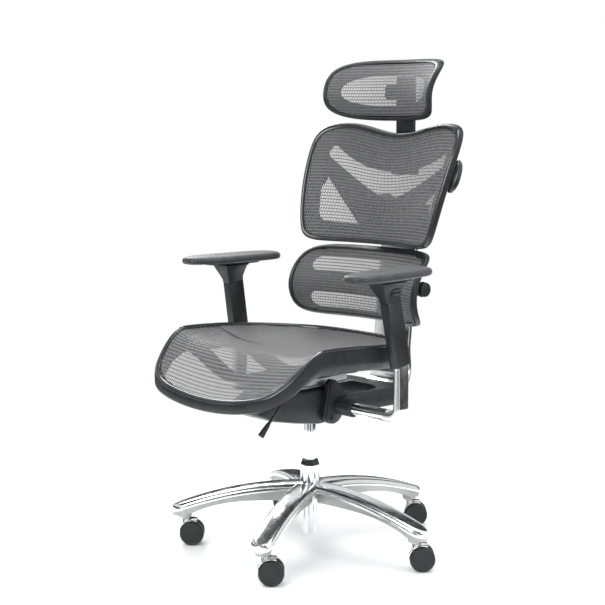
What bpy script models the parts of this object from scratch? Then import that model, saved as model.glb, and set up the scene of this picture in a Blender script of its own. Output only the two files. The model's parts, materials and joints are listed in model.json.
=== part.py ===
"""Swivel office chair: mesh seat, mesh back in two parts, mesh headrest, height-set arms and a
five-arm base on casters.

Metres, +Z up, floor at z = 0. The sitter faces -Y, so +X is the sitter's left. Everything is drawn
around the column's axis and moved as one at the end, to put the middle of the chair's box over the
origin. Run it in Blender's text editor or with: blender --background --python part.py
"""

import math

import bmesh
import bpy
from mathutils import Matrix, Vector

GAP = 0.0003  # between faces that touch
PLAY = 0.0006  # between faces that slide or turn on each other

# Star base
BASE_REACH = 0.307  # column axis to each caster stem
BASE_TIP = 0.031  # arm that goes on past the stem
BASE_TURN = math.radians(7.7)  # first arm from +X
ARM_COUNT = 5
ARM_HALF_WIDTH = 0.031
ARM_SHELL = 0.017  # depth of the polished upper part
ARM_SAG = 0.62  # an arm's top falls by this times the square of the reach
ARM_FOOT_FALL = 0.045
HUB_RADIUS = 0.041
HUB_TOP = 0.161
HUB_BOTTOM = 0.112
SOCKET_RADIUS = 0.0175
SOCKET_BOTTOM = 0.069
SOCKET_DEPTH = 0.024

# Casters
WHEEL_RADIUS = 0.030
WHEEL_WIDTH = 0.0190
WHEEL_SIDES = 24
AXLE_RADIUS = 0.004
WEB_WIDTH = 0.009  # middle of the hood, between the wheels
HOOD_WALL = 0.002
HOOD_CLEARANCE = 0.0015
CASTER_TRAIL = 0.017
CASTER_HEADING = math.radians(45.8)
STEM_RADIUS = 0.0055
STEM_COLLAR = 0.0105
STEM_FOOT = 0.0597

# Column
TUBE_RADIUS = 0.0185
COLLAR_RADIUS = 0.0235
COLLAR_TOP = 0.205
TUBE_BOTTOM = 0.034
TUBE_WALL = 0.0025
BUSH_RADIUS = 0.0195
BUSH_TOP = 0.2165
GAS_RADIUS = 0.014
GAS_BOTTOM = 0.125
GAS_TOP = 0.352
ROD_RADIUS = 0.005
LIFT_DROP = 0.070  # how far the seat can sink from here
BEARING_HEIGHT = 0.006

# Tilt mechanism
HOUSING_HALF = 0.066
HOUSING_FRONT = -0.215
HOUSING_REAR = 0.046
HOUSING_TOP = 0.405
HOUSING_BOTTOM = 0.316
PIVOT_Y = -0.004
PIVOT_Z = 0.385
PIN_RADIUS = 0.007
CHEEK_WIDTH = 0.013
COVER_WIDTH = 0.004
YOKE_REAR = 0.236
YOKE_TOP = 0.380
YOKE_DEPTH = 0.040
YOKE_HALF_FRONT = 0.097
YOKE_HALF_REAR = 0.110
YOKE_HOLE_Y = 0.130
YOKE_HOLE_HALF_LENGTH = 0.055
YOKE_HOLE_HALF_WIDTH = 0.076

# Seat
SEAT_HALF_WIDTH = 0.247
SEAT_FRONT = -0.343
SEAT_REAR = 0.172
SEAT_SQUARENESS = (3.1, 4.6)  # rear half, front half
SEAT_LOW = 0.415  # rim height in the middle of the front
SEAT_HIGH = 0.540  # rim height at its crest
SEAT_BACK_HEIGHT = 0.515  # rim height at the rear
SEAT_CREST_Y = -0.190
SEAT_CORNER_LIFT = 0.043  # front corners above the middle of the front
SEAT_DISH = 0.034
RIM_WIDTH = 0.016
RIM_FRONT_DEPTH = 0.034
RIM_SIDE_DEPTH = 0.056
MESH_THICKNESS = 0.003
SEAT_PLATE_HALF = 0.062
SEAT_PLATE_THICKNESS = 0.004
SEAT_PIVOT_Y = 0.072
RAIL_HEIGHT = 0.018

# Spine and back
SPINE_HALF_WIDTH = 0.068
SPINE_THICKNESS = 0.014
SPINE_BEND = 0.055
SPINE_Y = 0.297
SPINE_LEAN = 0.10
SPINE_TOP = 0.760
BACK_BOTTOM = 0.726
BACK_TOP = 1.000
BACK_HALF_WIDTH = 0.243
BACK_Y = 0.170  # front of the sides at the lower edge
BACK_BULGE = 0.050  # the middle stands this much behind the sides
BACK_LIP = 0.010
BACK_FLANGE = 0.044
BACK_DEPTH = 0.026
LUMBAR_BOTTOM = 0.538
LUMBAR_TOP = 0.717
LUMBAR_HALF_WIDTH = 0.212
LUMBAR_BULGE = 0.045
LUMBAR_Y = 0.126
HEADREST_BOTTOM = 1.037
HEADREST_TOP = 1.183
HEADREST_HALF_WIDTH = 0.182
HEADREST_BULGE = 0.045
HEADREST_Y = 0.214
PAD_DEPTH = 0.022
STEM_HALF = 0.025
STEM_THICKNESS = 0.012

# Arms
ARM_CENTRE = SEAT_HALF_WIDTH + 0.028
ARM_Y = 0.018
ARM_TUBE_RADIUS = 0.015
BOSS_REACH = 0.050
ARM_TUBE_Z = 0.358
ARM_BAR_WIDTH = 0.038
ARM_BAR_THICKNESS = 0.020
SLEEVE_BOTTOM = 0.480
SLEEVE_TOP = 0.630
SLEEVE_WIDTH = 0.050
SLEEVE_THICKNESS = 0.028
SLEEVE_LEAN = Vector((-0.048, -0.185, 1.0)).normalized()
HEAD_TOP = 0.674
PAD_LENGTH = 0.280
PAD_HALF_WIDTH = 0.050
PAD_THICKNESS = 0.018
PAD_CENTRE_Y = -0.016
PAD_TOE_OUT = math.radians(6)

FINISHES = {  # colour, metallic, roughness
    "polished_aluminium": ((0.80, 0.80, 0.81), 1.0, 0.18),
    "chrome": ((0.86, 0.86, 0.88), 1.0, 0.06),
    "steel": ((0.55, 0.56, 0.58), 1.0, 0.35),
    "black_plastic": ((0.022, 0.025, 0.028), 0.0, 0.42),
    "dark_metal": ((0.035, 0.037, 0.042), 0.4, 0.45),
    "wheel_rubber": ((0.015, 0.015, 0.017), 0.0, 0.55),
    "grey_mesh": ((0.30, 0.30, 0.30), 0.0, 0.80),
    "pad_skin": ((0.075, 0.085, 0.095), 0.0, 0.40),
}


def clear_scene():
    for obj in list(bpy.data.objects):
        bpy.data.objects.remove(obj, do_unlink=True)


def new_collection(name):
    group = bpy.data.collections.new(name)
    bpy.context.scene.collection.children.link(group)
    return group


def material_for(part_name, finish):
    """A Principled material of the part's own, in one of the chair's finishes."""
    colour, metallic, roughness = FINISHES[finish]
    material = bpy.data.materials.new(part_name + "_" + finish)
    material.use_nodes = True
    shader = material.node_tree.nodes["Principled BSDF"]
    shader.inputs["Base Color"].default_value = (*colour, 1.0)
    shader.inputs["Metallic"].default_value = metallic
    shader.inputs["Roughness"].default_value = roughness
    return material


def add_part(name, bm, finish, axis_point=(0, 0, 0)):
    """Turns a bmesh in chair coordinates into a part whose origin is at axis_point."""
    bmesh.ops.translate(bm, verts=bm.verts, vec=-Vector(axis_point))
    mesh = bpy.data.meshes.new(name)
    bm.to_mesh(mesh)
    bm.free()
    mesh.materials.append(material_for(name, finish))
    mesh.shade_smooth()
    mesh.set_sharp_from_angle(angle=math.radians(35))
    obj = bpy.data.objects.new(name, mesh)
    obj.location = axis_point
    obj.parent = CHAIR
    PARTS.objects.link(obj)
    return obj


def add_helper(name, bm):
    """A hidden solid that cuts or joins a part."""
    mesh = bpy.data.meshes.new(name)
    bm.to_mesh(mesh)
    bm.free()
    obj = bpy.data.objects.new(name, mesh)
    obj.hide_render = True
    obj.display_type = "WIRE"
    obj.parent = CHAIR
    CUTTERS.objects.link(obj)
    return obj


def combine(part, bm, operation):
    """Adds a Boolean of the part with a helper solid made from bm."""
    modifier = part.modifiers.new(operation.lower(), "BOOLEAN")
    modifier.operation = operation
    modifier.solver = "EXACT"
    modifier.object = add_helper(part.name + "_" + modifier.name, bm)


def box(low, high, bevel=0.0, segments=2):
    """A box between two corners, its edges rounded by bevel."""
    low, high = Vector(low), Vector(high)
    bm = bmesh.new()
    size = high - low
    place = Matrix.Translation((low + high) / 2) @ Matrix.Diagonal((*size, 1.0))
    bmesh.ops.create_cube(bm, size=1.0, matrix=place)
    if bevel:
        bmesh.ops.bevel(bm, geom=bm.edges[:], offset=bevel, segments=segments, profile=0.5, affect="EDGES")
    return bm


def cylinder(start, end, radius, sides=24, end_radius=None):
    """A cylinder or cone between two points. A flat side faces down when its axis is level."""
    start, end = Vector(start), Vector(end)
    axis = end - start
    if abs(axis.normalized().z) > 0.99:
        turn = Matrix.Identity(3) if axis.z > 0 else Matrix.Rotation(math.pi, 3, "X")
    else:
        side = Vector((0, 0, 1)).cross(axis).normalized()
        turn = Matrix((side, axis.normalized().cross(side), axis.normalized())).transposed()
    half_step = Matrix.Rotation(math.pi / sides, 4, "Z")
    place = Matrix.Translation((start + end) / 2) @ turn.to_4x4() @ half_step
    bm = bmesh.new()
    bmesh.ops.create_cone(
        bm,
        cap_ends=True,
        segments=sides,
        radius1=radius,
        radius2=radius if end_radius is None else end_radius,
        depth=axis.length,
        matrix=place,
    )
    return bm


def loft(rings, closed=False):
    """A skin through rings with the same number of points, with end caps unless it closes on itself."""
    bm = bmesh.new()
    loops = [[bm.verts.new(point) for point in ring] for ring in rings]
    following = loops[1:] + loops[:1] if closed else loops[1:]
    for near, far in zip(loops, following):
        for i in range(len(near)):
            j = (i + 1) % len(near)
            bm.faces.new((near[i], near[j], far[j], far[i]))
    if not closed:
        bm.faces.new(loops[0][::-1])
        bm.faces.new(loops[-1])
    bmesh.ops.recalc_face_normals(bm, faces=bm.faces)
    return bm


def plate(outline, to_point, low, high):
    """A flat plate: outline points (a, b) placed by to_point(a, b, level) at two levels."""
    return loft([[to_point(a, b, level) for a, b in outline] for level in (low, high)])


def turned(profile, sides=24, place=None):
    """A profile of (radius, height) pairs spun about Z: hollow, or solid where it ends on the axis."""
    bm = bmesh.new()
    start = Matrix.Rotation(math.pi / sides, 3, "Z")
    points = [bm.verts.new(start @ Vector((radius, 0, height))) for radius, height in profile]
    pairs = list(zip(points, points[1:]))
    if profile[0][0] > 0:
        pairs.append((points[-1], points[0]))
    edges = [bm.edges.new(pair) for pair in pairs]
    bmesh.ops.spin(
        bm,
        geom=points + edges,
        cent=(0, 0, 0),
        axis=(0, 0, 1),
        angle=2 * math.pi,
        steps=sides,
        use_merge=True,
    )
    bmesh.ops.remove_doubles(bm, verts=bm.verts, dist=1e-6)
    bmesh.ops.recalc_face_normals(bm, faces=bm.faces)
    if place is not None:
        bmesh.ops.transform(bm, matrix=place, verts=bm.verts)
    return bm


def arc(centre, radius, first, last, steps):
    """Points (a, b) on an arc, angles in degrees."""
    angles = [math.radians(first + (last - first) * k / steps) for k in range(steps + 1)]
    return [(centre[0] + radius * math.cos(a), centre[1] + radius * math.sin(a)) for a in angles]


def rounded_section(half_width, half_height, corner, steps=2):
    """Points (a, b) round a rectangle with rounded corners."""
    points = []
    for sign_a, sign_b, first in ((1, 1, 0), (-1, 1, 90), (-1, -1, 180), (1, -1, 270)):
        centre = (sign_a * (half_width - corner), sign_b * (half_height - corner))
        points += arc(centre, corner, first, first + 90, steps)
    return points


def swept(path, side, section_at):
    """A bar along path. section_at(share of the length) gives points (across, out from the bend)."""
    side = Vector(side)
    rings = []
    for k, point in enumerate(path):
        ahead = path[min(k + 1, len(path) - 1)] - path[max(k - 1, 0)]
        out = side.cross(ahead.normalized()).normalized()
        section = section_at(k / (len(path) - 1))
        rings.append([point + side * a + out * b for a, b in section])
    return loft(rings)


def smooth_step(value, low, high):
    share = min(max((value - low) / (high - low), 0.0), 1.0)
    return share * share * (3 - 2 * share)


def squircle(angle, power):
    """The point of a unit rounded square in one direction."""
    c, s = math.cos(angle), math.sin(angle)
    reach = (abs(c) ** power + abs(s) ** power) ** (-1 / power)
    return c * reach, s * reach


class Cushion:
    """A framed mesh panel: surface(s, t) over a rounded square, with its depth along one direction."""

    def __init__(self, surface, half_width, half_height, squareness, depth_way, sides):
        self.surface = surface
        self.half_width = half_width
        self.half_height = half_height
        both = isinstance(squareness, tuple)
        self.top_power, self.bottom_power = squareness if both else (squareness, squareness)
        self.depth_way = Vector(depth_way)
        self.sides = sides

    def ring(self, inset, depth, scale=1.0):
        """Points round the outline, set in from it by inset and behind the surface by depth."""
        points = []
        for k in range(self.sides):
            angle = 2 * math.pi * k / self.sides
            s, t = squircle(angle, self.top_power if angle < math.pi else self.bottom_power)
            s *= scale * (1 - inset / self.half_width)
            t *= scale * (1 - inset / self.half_height)
            deep = depth(t) if callable(depth) else depth
            points.append(self.surface(s, t) + self.depth_way * deep)
        return points

    def rim(self, section):
        """A ring-shaped body whose section is a list of (inset, depth)."""
        return loft([self.ring(inset, depth) for inset, depth in section], closed=True)

    def panel(self, inset, front, thickness, steps=(0.68, 0.36, 0.08)):
        """A closed sheet inside the outline."""
        shares = [steps[-1 - k] for k in range(len(steps))] + [1.0]
        face = [self.ring(inset, front, share) for share in shares]
        rear = [self.ring(inset, front + thickness, share) for share in reversed(shares)]
        return loft(face + rear)


def around(index):
    """Direction of a base arm."""
    angle = BASE_TURN + 2 * math.pi * index / ARM_COUNT
    return Vector((math.cos(angle), math.sin(angle), 0))


def star_arm(index):
    """One arm of the star: narrow cast foot below, wide domed top above, falling towards the caster."""
    way, side, up = around(index), around(index).cross(Vector((0, 0, -1))), Vector((0, 0, 1))
    rings = []
    for share in (0.07, 0.30, 0.52, 0.72, 0.90, 1.03, 1.10):
        past_stem = max(0.0, share - 1)
        radius = min(share, 1.0) * BASE_REACH + past_stem * 10 * BASE_TIP
        top = HUB_TOP - ARM_SAG * max(0.0, radius - 0.02) ** 2
        foot = max(HUB_BOTTOM + 0.004 - ARM_FOOT_FALL * share**4, SOCKET_BOTTOM + 0.002) + past_stem * 0.03
        half = ARM_HALF_WIDTH * (1.04 - 0.12 * share) * (1 - 4.2 * past_stem)
        rib = half * 0.58
        edge = max(top - ARM_SHELL, foot + 0.002)
        shoulder = edge + (top - edge) * 0.65
        section = [(-rib, foot), (rib, foot), (rib, edge - 0.001), (half, edge)]
        section += [(half * 0.94, shoulder), (half * 0.6, top - 0.0015), (0, top)]
        section += [(-half * 0.6, top - 0.0015), (-half * 0.94, shoulder)]
        section += [(-half, edge), (-rib, edge - 0.001)]
        rings.append([way * radius + side * a + up * b for a, b in section])
    return loft(rings)


def star_base():
    hub = cylinder((0, 0, HUB_BOTTOM), (0, 0, HUB_TOP), HUB_RADIUS, 24, HUB_RADIUS - 0.006)
    base = add_part("star_base", hub, "polished_aluminium")
    for index in range(ARM_COUNT):
        combine(base, star_arm(index), "UNION")
    for index in range(ARM_COUNT):
        foot = around(index) * BASE_REACH + Vector((0, 0, SOCKET_BOTTOM))
        socket_top = foot + Vector((0, 0, 0.020))
        combine(base, cylinder(foot, socket_top, SOCKET_RADIUS - 0.001, 20, SOCKET_RADIUS), "UNION")
    low, high = Vector((0, 0, HUB_BOTTOM - 0.03)), Vector((0, 0, HUB_TOP + 0.03))
    combine(base, cylinder(low, high, COLLAR_RADIUS + GAP, 24), "DIFFERENCE")
    for index in range(ARM_COUNT):
        foot = around(index) * BASE_REACH + Vector((0, 0, SOCKET_BOTTOM - 0.01))
        deep = foot + Vector((0, 0, 0.01 + SOCKET_DEPTH))
        combine(base, cylinder(foot, deep, STEM_RADIUS + PLAY, 16), "DIFFERENCE")


def column():
    """Tube in the hub, guide bush, gas cylinder, its rod and the thrust bearing at the rod's foot."""
    bore = TUBE_RADIUS - TUBE_WALL
    step = HUB_BOTTOM - 0.006
    foot_hole = ROD_RADIUS + 0.002
    tube = [(TUBE_RADIUS, TUBE_BOTTOM), (TUBE_RADIUS, step), (COLLAR_RADIUS, step + 0.004)]
    tube += [(COLLAR_RADIUS, COLLAR_TOP), (bore, COLLAR_TOP), (bore, TUBE_BOTTOM + 0.004)]
    tube += [(foot_hole, TUBE_BOTTOM + 0.004), (foot_hole, TUBE_BOTTOM)]
    add_part("column_tube", turned(tube), "chrome")
    inner, outer = GAS_RADIUS + PLAY, bore - GAP
    seat = COLLAR_TOP + GAP
    bush = [(inner, BUSH_TOP), (inner, GAS_BOTTOM + 0.03), (outer, GAS_BOTTOM + 0.03), (outer, seat)]
    bush += [(BUSH_RADIUS + 0.003, seat), (BUSH_RADIUS, BUSH_TOP)]
    add_part("guide_bush", turned(bush), "black_plastic")
    rod_hole = ROD_RADIUS + PLAY
    gas = [(rod_hole, GAS_BOTTOM), (GAS_RADIUS - 0.001, GAS_BOTTOM), (GAS_RADIUS, GAS_BOTTOM + 0.002)]
    gas += [(GAS_RADIUS, GAS_TOP), (rod_hole, GAS_TOP)]
    add_part("gas_cylinder", turned(gas), "chrome")
    bearing_low = TUBE_BOTTOM + 0.004 + GAP
    bearing_high = bearing_low + BEARING_HEIGHT
    neck, washer = ROD_RADIUS - 0.001, ROD_RADIUS + 0.004
    rod = [(0, TUBE_BOTTOM - 0.002), (neck, TUBE_BOTTOM - 0.002), (neck, bearing_high + GAP)]
    rod += [(washer, bearing_high + GAP), (washer, bearing_high + 0.005), (ROD_RADIUS, bearing_high + 0.006)]
    rod_top = GAS_TOP - LIFT_DROP - 0.030
    rod += [(ROD_RADIUS, rod_top), (0, rod_top)]
    add_part("piston_rod", turned(rod, 16), "steel")
    ring = [(neck + PLAY, bearing_low), (bore - 0.002, bearing_low)]
    ring += [(bore - 0.002, bearing_high), (neck + PLAY, bearing_high)]
    add_part("thrust_bearing", turned(ring), "steel")


def caster_frame(index):
    """Axle centre, axle direction and stem point of a caster."""
    axle_height = WHEEL_RADIUS * math.cos(math.pi / WHEEL_SIDES)
    turn = CASTER_HEADING
    trail = Vector((math.cos(turn), math.sin(turn), 0))
    axle = Vector((math.sin(turn), -math.cos(turn), 0))
    stem = around(index) * BASE_REACH
    return stem + trail * CASTER_TRAIL + Vector((0, 0, axle_height)), axle, stem


def caster_wheel(index, name, outward):
    """One wheel of the pair: tread, soft shoulders and a dished outer face."""
    centre, axle, _ = caster_frame(index)
    inner = WEB_WIDTH / 2 + PLAY
    outer = inner + WHEEL_WIDTH
    bore, tread = AXLE_RADIUS + PLAY, WHEEL_RADIUS
    profile = [(bore, inner), (tread, inner), (tread, outer - 0.005), (tread - 0.004, outer)]
    profile += [(bore, outer + 0.001)]
    turn = outward * axle
    facing = Matrix((Vector((0, 0, 1)).cross(turn), Vector((0, 0, 1)), turn)).transposed()
    upright = facing @ Matrix.Rotation(math.pi / 2, 3, "Z")
    place = Matrix.Translation(centre) @ upright.to_4x4()
    add_part(name, turned(profile, WHEEL_SIDES, place), "wheel_rubber", centre)


def caster_hood(index):
    """Hood of a caster: web between the wheels, boss for the stem, guard over the tread, and the axle."""
    centre, axle, stem = caster_frame(index)
    name = f"caster_{index + 1}_hood"
    half_web = axle * WEB_WIDTH / 2
    web = cylinder(centre - half_web, centre + half_web, WHEEL_RADIUS * 0.82, 18)
    hood = add_part(name, web, "chrome", stem)
    half_axle = axle * (WEB_WIDTH / 2 + WHEEL_WIDTH * 0.9)
    to_stem = (stem - centre).to_2d().to_3d().normalized()
    inside, outside = WHEEL_RADIUS + HOOD_CLEARANCE, WHEEL_RADIUS + HOOD_CLEARANCE + HOOD_WALL
    section = [(0, r * math.cos(a), r * math.sin(a)) for a, r in hood_arc(inside, outside)]
    half_guard = WEB_WIDTH / 2 + WHEEL_WIDTH * 0.62
    guard = loft([
        [centre + axle * side * half_guard + to_stem * p[1] + Vector((0, 0, p[2])) for p in section]
        for side in (-1, 1)
    ])
    rib_inside = WHEEL_RADIUS * 0.7
    rib_section = [(r * math.cos(a), r * math.sin(a)) for a, r in hood_arc(rib_inside, outside - 0.0005)]
    rib = loft([
        [centre + half_web * 0.86 * side + to_stem * a + Vector((0, 0, b)) for a, b in rib_section]
        for side in (-1, 1)
    ])
    boss_top = stem + Vector((0, 0, SOCKET_BOTTOM - 0.004))
    boss_foot = stem + Vector((0, 0, STEM_FOOT - 0.006))
    for solid in (rib, guard, cylinder(boss_foot, boss_top, STEM_COLLAR - 0.001, 16)):
        combine(hood, solid, "UNION")
    for side in (-1, 1):
        room = cylinder(
            centre + half_web * side,
            centre + axle * side * (WEB_WIDTH / 2 + WHEEL_WIDTH * 1.5),
            WHEEL_RADIUS + HOOD_CLEARANCE * 0.6,
            WHEEL_SIDES,
        )
        combine(hood, room, "DIFFERENCE")
    combine(hood, cylinder(centre - half_axle, centre + half_axle, AXLE_RADIUS, 12), "UNION")
    hole_foot, hole_top = stem + Vector((0, 0, STEM_FOOT - GAP)), boss_top + Vector((0, 0, 0.01))
    combine(hood, cylinder(hole_foot, hole_top, STEM_RADIUS + GAP, 16), "DIFFERENCE")


def hood_arc(inside, outside, first=8, last=112, steps=6):
    """Angle and radius pairs round a curved guard, out along the inside and back along the outside."""
    angles = [math.radians(first + (last - first) * k / steps) for k in range(steps + 1)]
    return [(a, inside) for a in angles] + [(a, outside) for a in reversed(angles)]


def caster_stem(index):
    """Steel stem with a collar, turning in the arm's socket."""
    stem = around(index) * BASE_REACH
    foot, collar = STEM_FOOT, SOCKET_BOTTOM - 0.004 + GAP
    profile = [(0, foot), (STEM_RADIUS, foot), (STEM_RADIUS, collar), (STEM_COLLAR, collar)]
    profile += [(STEM_COLLAR, SOCKET_BOTTOM - 0.0012), (STEM_RADIUS, SOCKET_BOTTOM - 0.0008)]
    top = SOCKET_BOTTOM + SOCKET_DEPTH - 0.002
    profile += [(STEM_RADIUS, top - 0.002), (STEM_RADIUS - 0.001, top), (0, top)]
    add_part(f"caster_{index + 1}_stem", turned(profile, 16, Matrix.Translation(stem)), "steel", stem)


def casters():
    for index in range(ARM_COUNT):
        caster_stem(index)
        caster_hood(index)
        caster_wheel(index, f"caster_{index + 1}_wheel_left", 1)
        caster_wheel(index, f"caster_{index + 1}_wheel_right", -1)


def mechanism():
    """Housing on the gas cylinder, the pivot pin through it, and the control lever."""
    rings = []
    length = HOUSING_REAR - HOUSING_FRONT
    middle = (HOUSING_TOP + HOUSING_BOTTOM) / 2
    for share, width, rise, fall in (
        (0.0, 0.62, 0.20, -0.30),
        (0.03, 0.72, 0.62, 0.02),
        (0.18, 0.90, 0.92, 0.42),
        (0.45, 1.0, 1.0, 0.74),
        (0.72, 1.0, 1.0, 1.0),
        (0.90, 1.0, 1.0, 1.0),
        (1.0, 0.94, 0.94, 0.62),
    ):
        half = (HOUSING_TOP - HOUSING_BOTTOM) / 2
        low, high = middle - half * fall, middle + half * rise
        section = rounded_section(HOUSING_HALF * width, (high - low) / 2, min(0.012, (high - low) * 0.3))
        y = HOUSING_FRONT + length * share
        rings.append([Vector((a, y, (low + high) / 2 + b)) for a, b in section])
    housing = add_part("mechanism_housing", loft(rings), "black_plastic")
    gas_hole = cylinder((0, 0, HOUSING_BOTTOM - 0.05), (0, 0, GAS_TOP + GAP), GAS_RADIUS + GAP, 24)
    combine(housing, gas_hole, "DIFFERENCE")
    ends = [(side * (HOUSING_HALF + 0.01), PIVOT_Y, PIVOT_Z) for side in (-1, 1)]
    combine(housing, cylinder(*ends, PIN_RADIUS + GAP, 16), "DIFFERENCE")
    reach = HOUSING_HALF + PLAY + CHEEK_WIDTH - 0.001
    pin_ends = [(side * reach, PIVOT_Y, PIVOT_Z) for side in (-1, 1)]
    add_part("tilt_pivot_pin", cylinder(*pin_ends, PIN_RADIUS, 16), "steel", (0, PIVOT_Y, PIVOT_Z))


def lever():
    """Bent rod with a flared grip, turning in the housing's nose."""
    pivot = Vector((HOUSING_HALF * 0.9 + 0.002, HOUSING_FRONT + 0.050, 0.385))
    route = [Vector((0, 0, 0)), Vector((0.006, 0, 0)), Vector((0.013, -0.004, -0.003))]
    route += [Vector((0.014, -0.020, -0.018)), Vector((0.012, -0.038, -0.036))]
    ring_sizes = (0.0036,) * 5
    grip = [Vector((0.012, -0.041, -0.039)), Vector((0.010, -0.063, -0.064))]
    path = [pivot + step for step in route + grip]
    sizes = (*ring_sizes, 0.0050, 0.0085)
    rings = []
    for k, point in enumerate(path):
        ahead = (path[min(k + 1, len(path) - 1)] - path[max(k - 1, 0)]).normalized()
        side = ahead.cross(Vector((0, 0.6, 0.8))).normalized()
        out = side.cross(ahead)
        angles = [2 * math.pi * i / 10 for i in range(10)]
        rings.append([point + (side * math.cos(a) + out * math.sin(a)) * sizes[k] for a in angles])
    add_part("control_lever", loft(rings), "black_plastic", pivot)


def yoke_outline():
    """Outer edge of the yoke plate, from its front left corner round the rear."""
    corner = 0.028
    points = [(YOKE_HALF_FRONT - 0.014, 0.016), (YOKE_HALF_FRONT, 0.040)]
    points += arc((YOKE_HALF_REAR - corner, YOKE_REAR - corner), corner, 0, 90, 4)
    return points + [(-a, b) for a, b in reversed(points)]


def yoke():
    """Cast yoke: a cheek each side of the housing, a plate behind with a D-shaped hole, tube bosses."""
    inner = HOUSING_HALF + PLAY
    outer = inner + CHEEK_WIDTH

    def level(a, b, z):
        return Vector((a, b, z))

    body = add_part(
        "yoke",
        plate(yoke_outline(), level, YOKE_TOP - YOKE_DEPTH, YOKE_TOP),
        "black_plastic",
        (0, PIVOT_Y, PIVOT_Z),
    )
    for side in (-1, 1):
        cheek = cheek_outline()
        combine(body, plate(cheek, lambda a, b, x: Vector((x * side, a, b)), inner, outer), "UNION")
        boss_start = (side * (outer - 0.008), ARM_Y, ARM_TUBE_Z)
        boss_end = (side * (outer + BOSS_REACH), ARM_Y, ARM_TUBE_Z)
        combine(body, cylinder(boss_start, boss_end, ARM_TUBE_RADIUS + 0.006, 24), "UNION")
    add_covers(body)
    front = HOUSING_REAR + 0.018
    room = box((-inner, HOUSING_FRONT - 0.1, 0.2), (inner, front, 0.6))
    combine(body, room, "DIFFERENCE")
    hole = [
        (YOKE_HOLE_HALF_WIDTH * s, YOKE_HOLE_Y + YOKE_HOLE_HALF_LENGTH * t)
        for s, t in (squircle(2 * math.pi * k / 28, 2.6) for k in range(28))
    ]
    cut = plate(hole, level, YOKE_TOP - YOKE_DEPTH - 0.05, YOKE_TOP + 0.05)
    combine(body, cut, "DIFFERENCE")
    pin_ends = [(side * (outer - 0.001 + PLAY), PIVOT_Y, PIVOT_Z) for side in (-1, 1)]
    combine(body, cylinder(*pin_ends, PIN_RADIUS + PLAY, 16), "DIFFERENCE")
    for side in (-1, 1):
        tube_start = (side * (outer + 0.010), ARM_Y, ARM_TUBE_Z)
        tube_end = (side * (outer + BOSS_REACH + 0.01), ARM_Y, ARM_TUBE_Z)
        combine(body, cylinder(tube_start, tube_end, ARM_TUBE_RADIUS + GAP, 24), "DIFFERENCE")


def cheek_outline():
    """Side view (y, z) of a cheek: round at the foot and drawn to a blunt point over the pivot."""
    foot_radius = 0.034
    foot = (PIVOT_Y + 0.004, HOUSING_BOTTOM + foot_radius)
    points = arc(foot, foot_radius, 200, 350, 6)
    points += [(0.052, YOKE_TOP - YOKE_DEPTH + 0.002), (0.052, YOKE_TOP - 0.004)]
    points += arc((PIVOT_Y + 0.002, PIVOT_Z + 0.022), 0.017, 35, 150, 4)
    return points


def cover_outline():
    """Side view of the cover over a cheek."""
    points = arc((PIVOT_Y - 0.002, HOUSING_BOTTOM + 0.024), 0.022, 195, 345, 5)
    return points + arc((PIVOT_Y + 0.001, PIVOT_Z + 0.026), 0.008, 30, 150, 3)


def add_covers(body):
    """Raised covers on the cheeks, each held by two screws."""
    inner = HOUSING_HALF + PLAY + CHEEK_WIDTH - 0.001
    for side in (-1, 1):
        cover = plate(
            cover_outline(), lambda a, b, x: Vector((x * side, a, b)), inner, inner + COVER_WIDTH
        )
        combine(body, cover, "UNION")
        for y, z in ((PIVOT_Y + 0.002, PIVOT_Z - 0.014), (PIVOT_Y - 0.004, HOUSING_BOTTOM + 0.013)):
            start = (side * (inner + COVER_WIDTH - 0.001), y, z)
            end = (side * (inner + COVER_WIDTH + 0.0015), y, z)
            combine(body, cylinder(start, end, 0.0045, 12), "UNION")


def rim_height(s, y):
    """Height of the seat's rim: low in front, a crest over the thighs, easing down to the back."""
    rise = smooth_step(y, SEAT_FRONT + 0.01, SEAT_CREST_Y)
    fall = smooth_step(y, SEAT_CREST_Y, SEAT_REAR + 0.04)
    height = SEAT_LOW + (SEAT_HIGH - SEAT_LOW) * rise - (SEAT_HIGH - SEAT_BACK_HEIGHT) * fall
    return height + SEAT_CORNER_LIFT * s * s * (1 - rise)


def seat_power(t):
    """Squareness of the seat's outline in its rear or front half."""
    return SEAT_SQUARENESS[0] if t > 0 else SEAT_SQUARENESS[1]


def seat_surface(s, t):
    y = SEAT_FRONT + (SEAT_REAR - SEAT_FRONT) * (t + 1) / 2
    half = SEAT_HALF_WIDTH * (1 - 0.10 * max(0.0, t) ** 2)
    rounding = abs(s) ** seat_power(t) + abs(t) ** seat_power(t)
    inside = max(0.0, 1 - rounding)
    dish = SEAT_DISH * inside * smooth_step(t, -1.0, -0.25)
    crown = 0.028 * inside * (1 - smooth_step(t, -1.0, -0.3))
    return Vector((half * s, y, rim_height(s, y) - dish + crown))


def seat_rim_depth(t):
    return RIM_FRONT_DEPTH + (RIM_SIDE_DEPTH - RIM_FRONT_DEPTH) * smooth_step(t, -1.0, -0.45)


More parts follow.
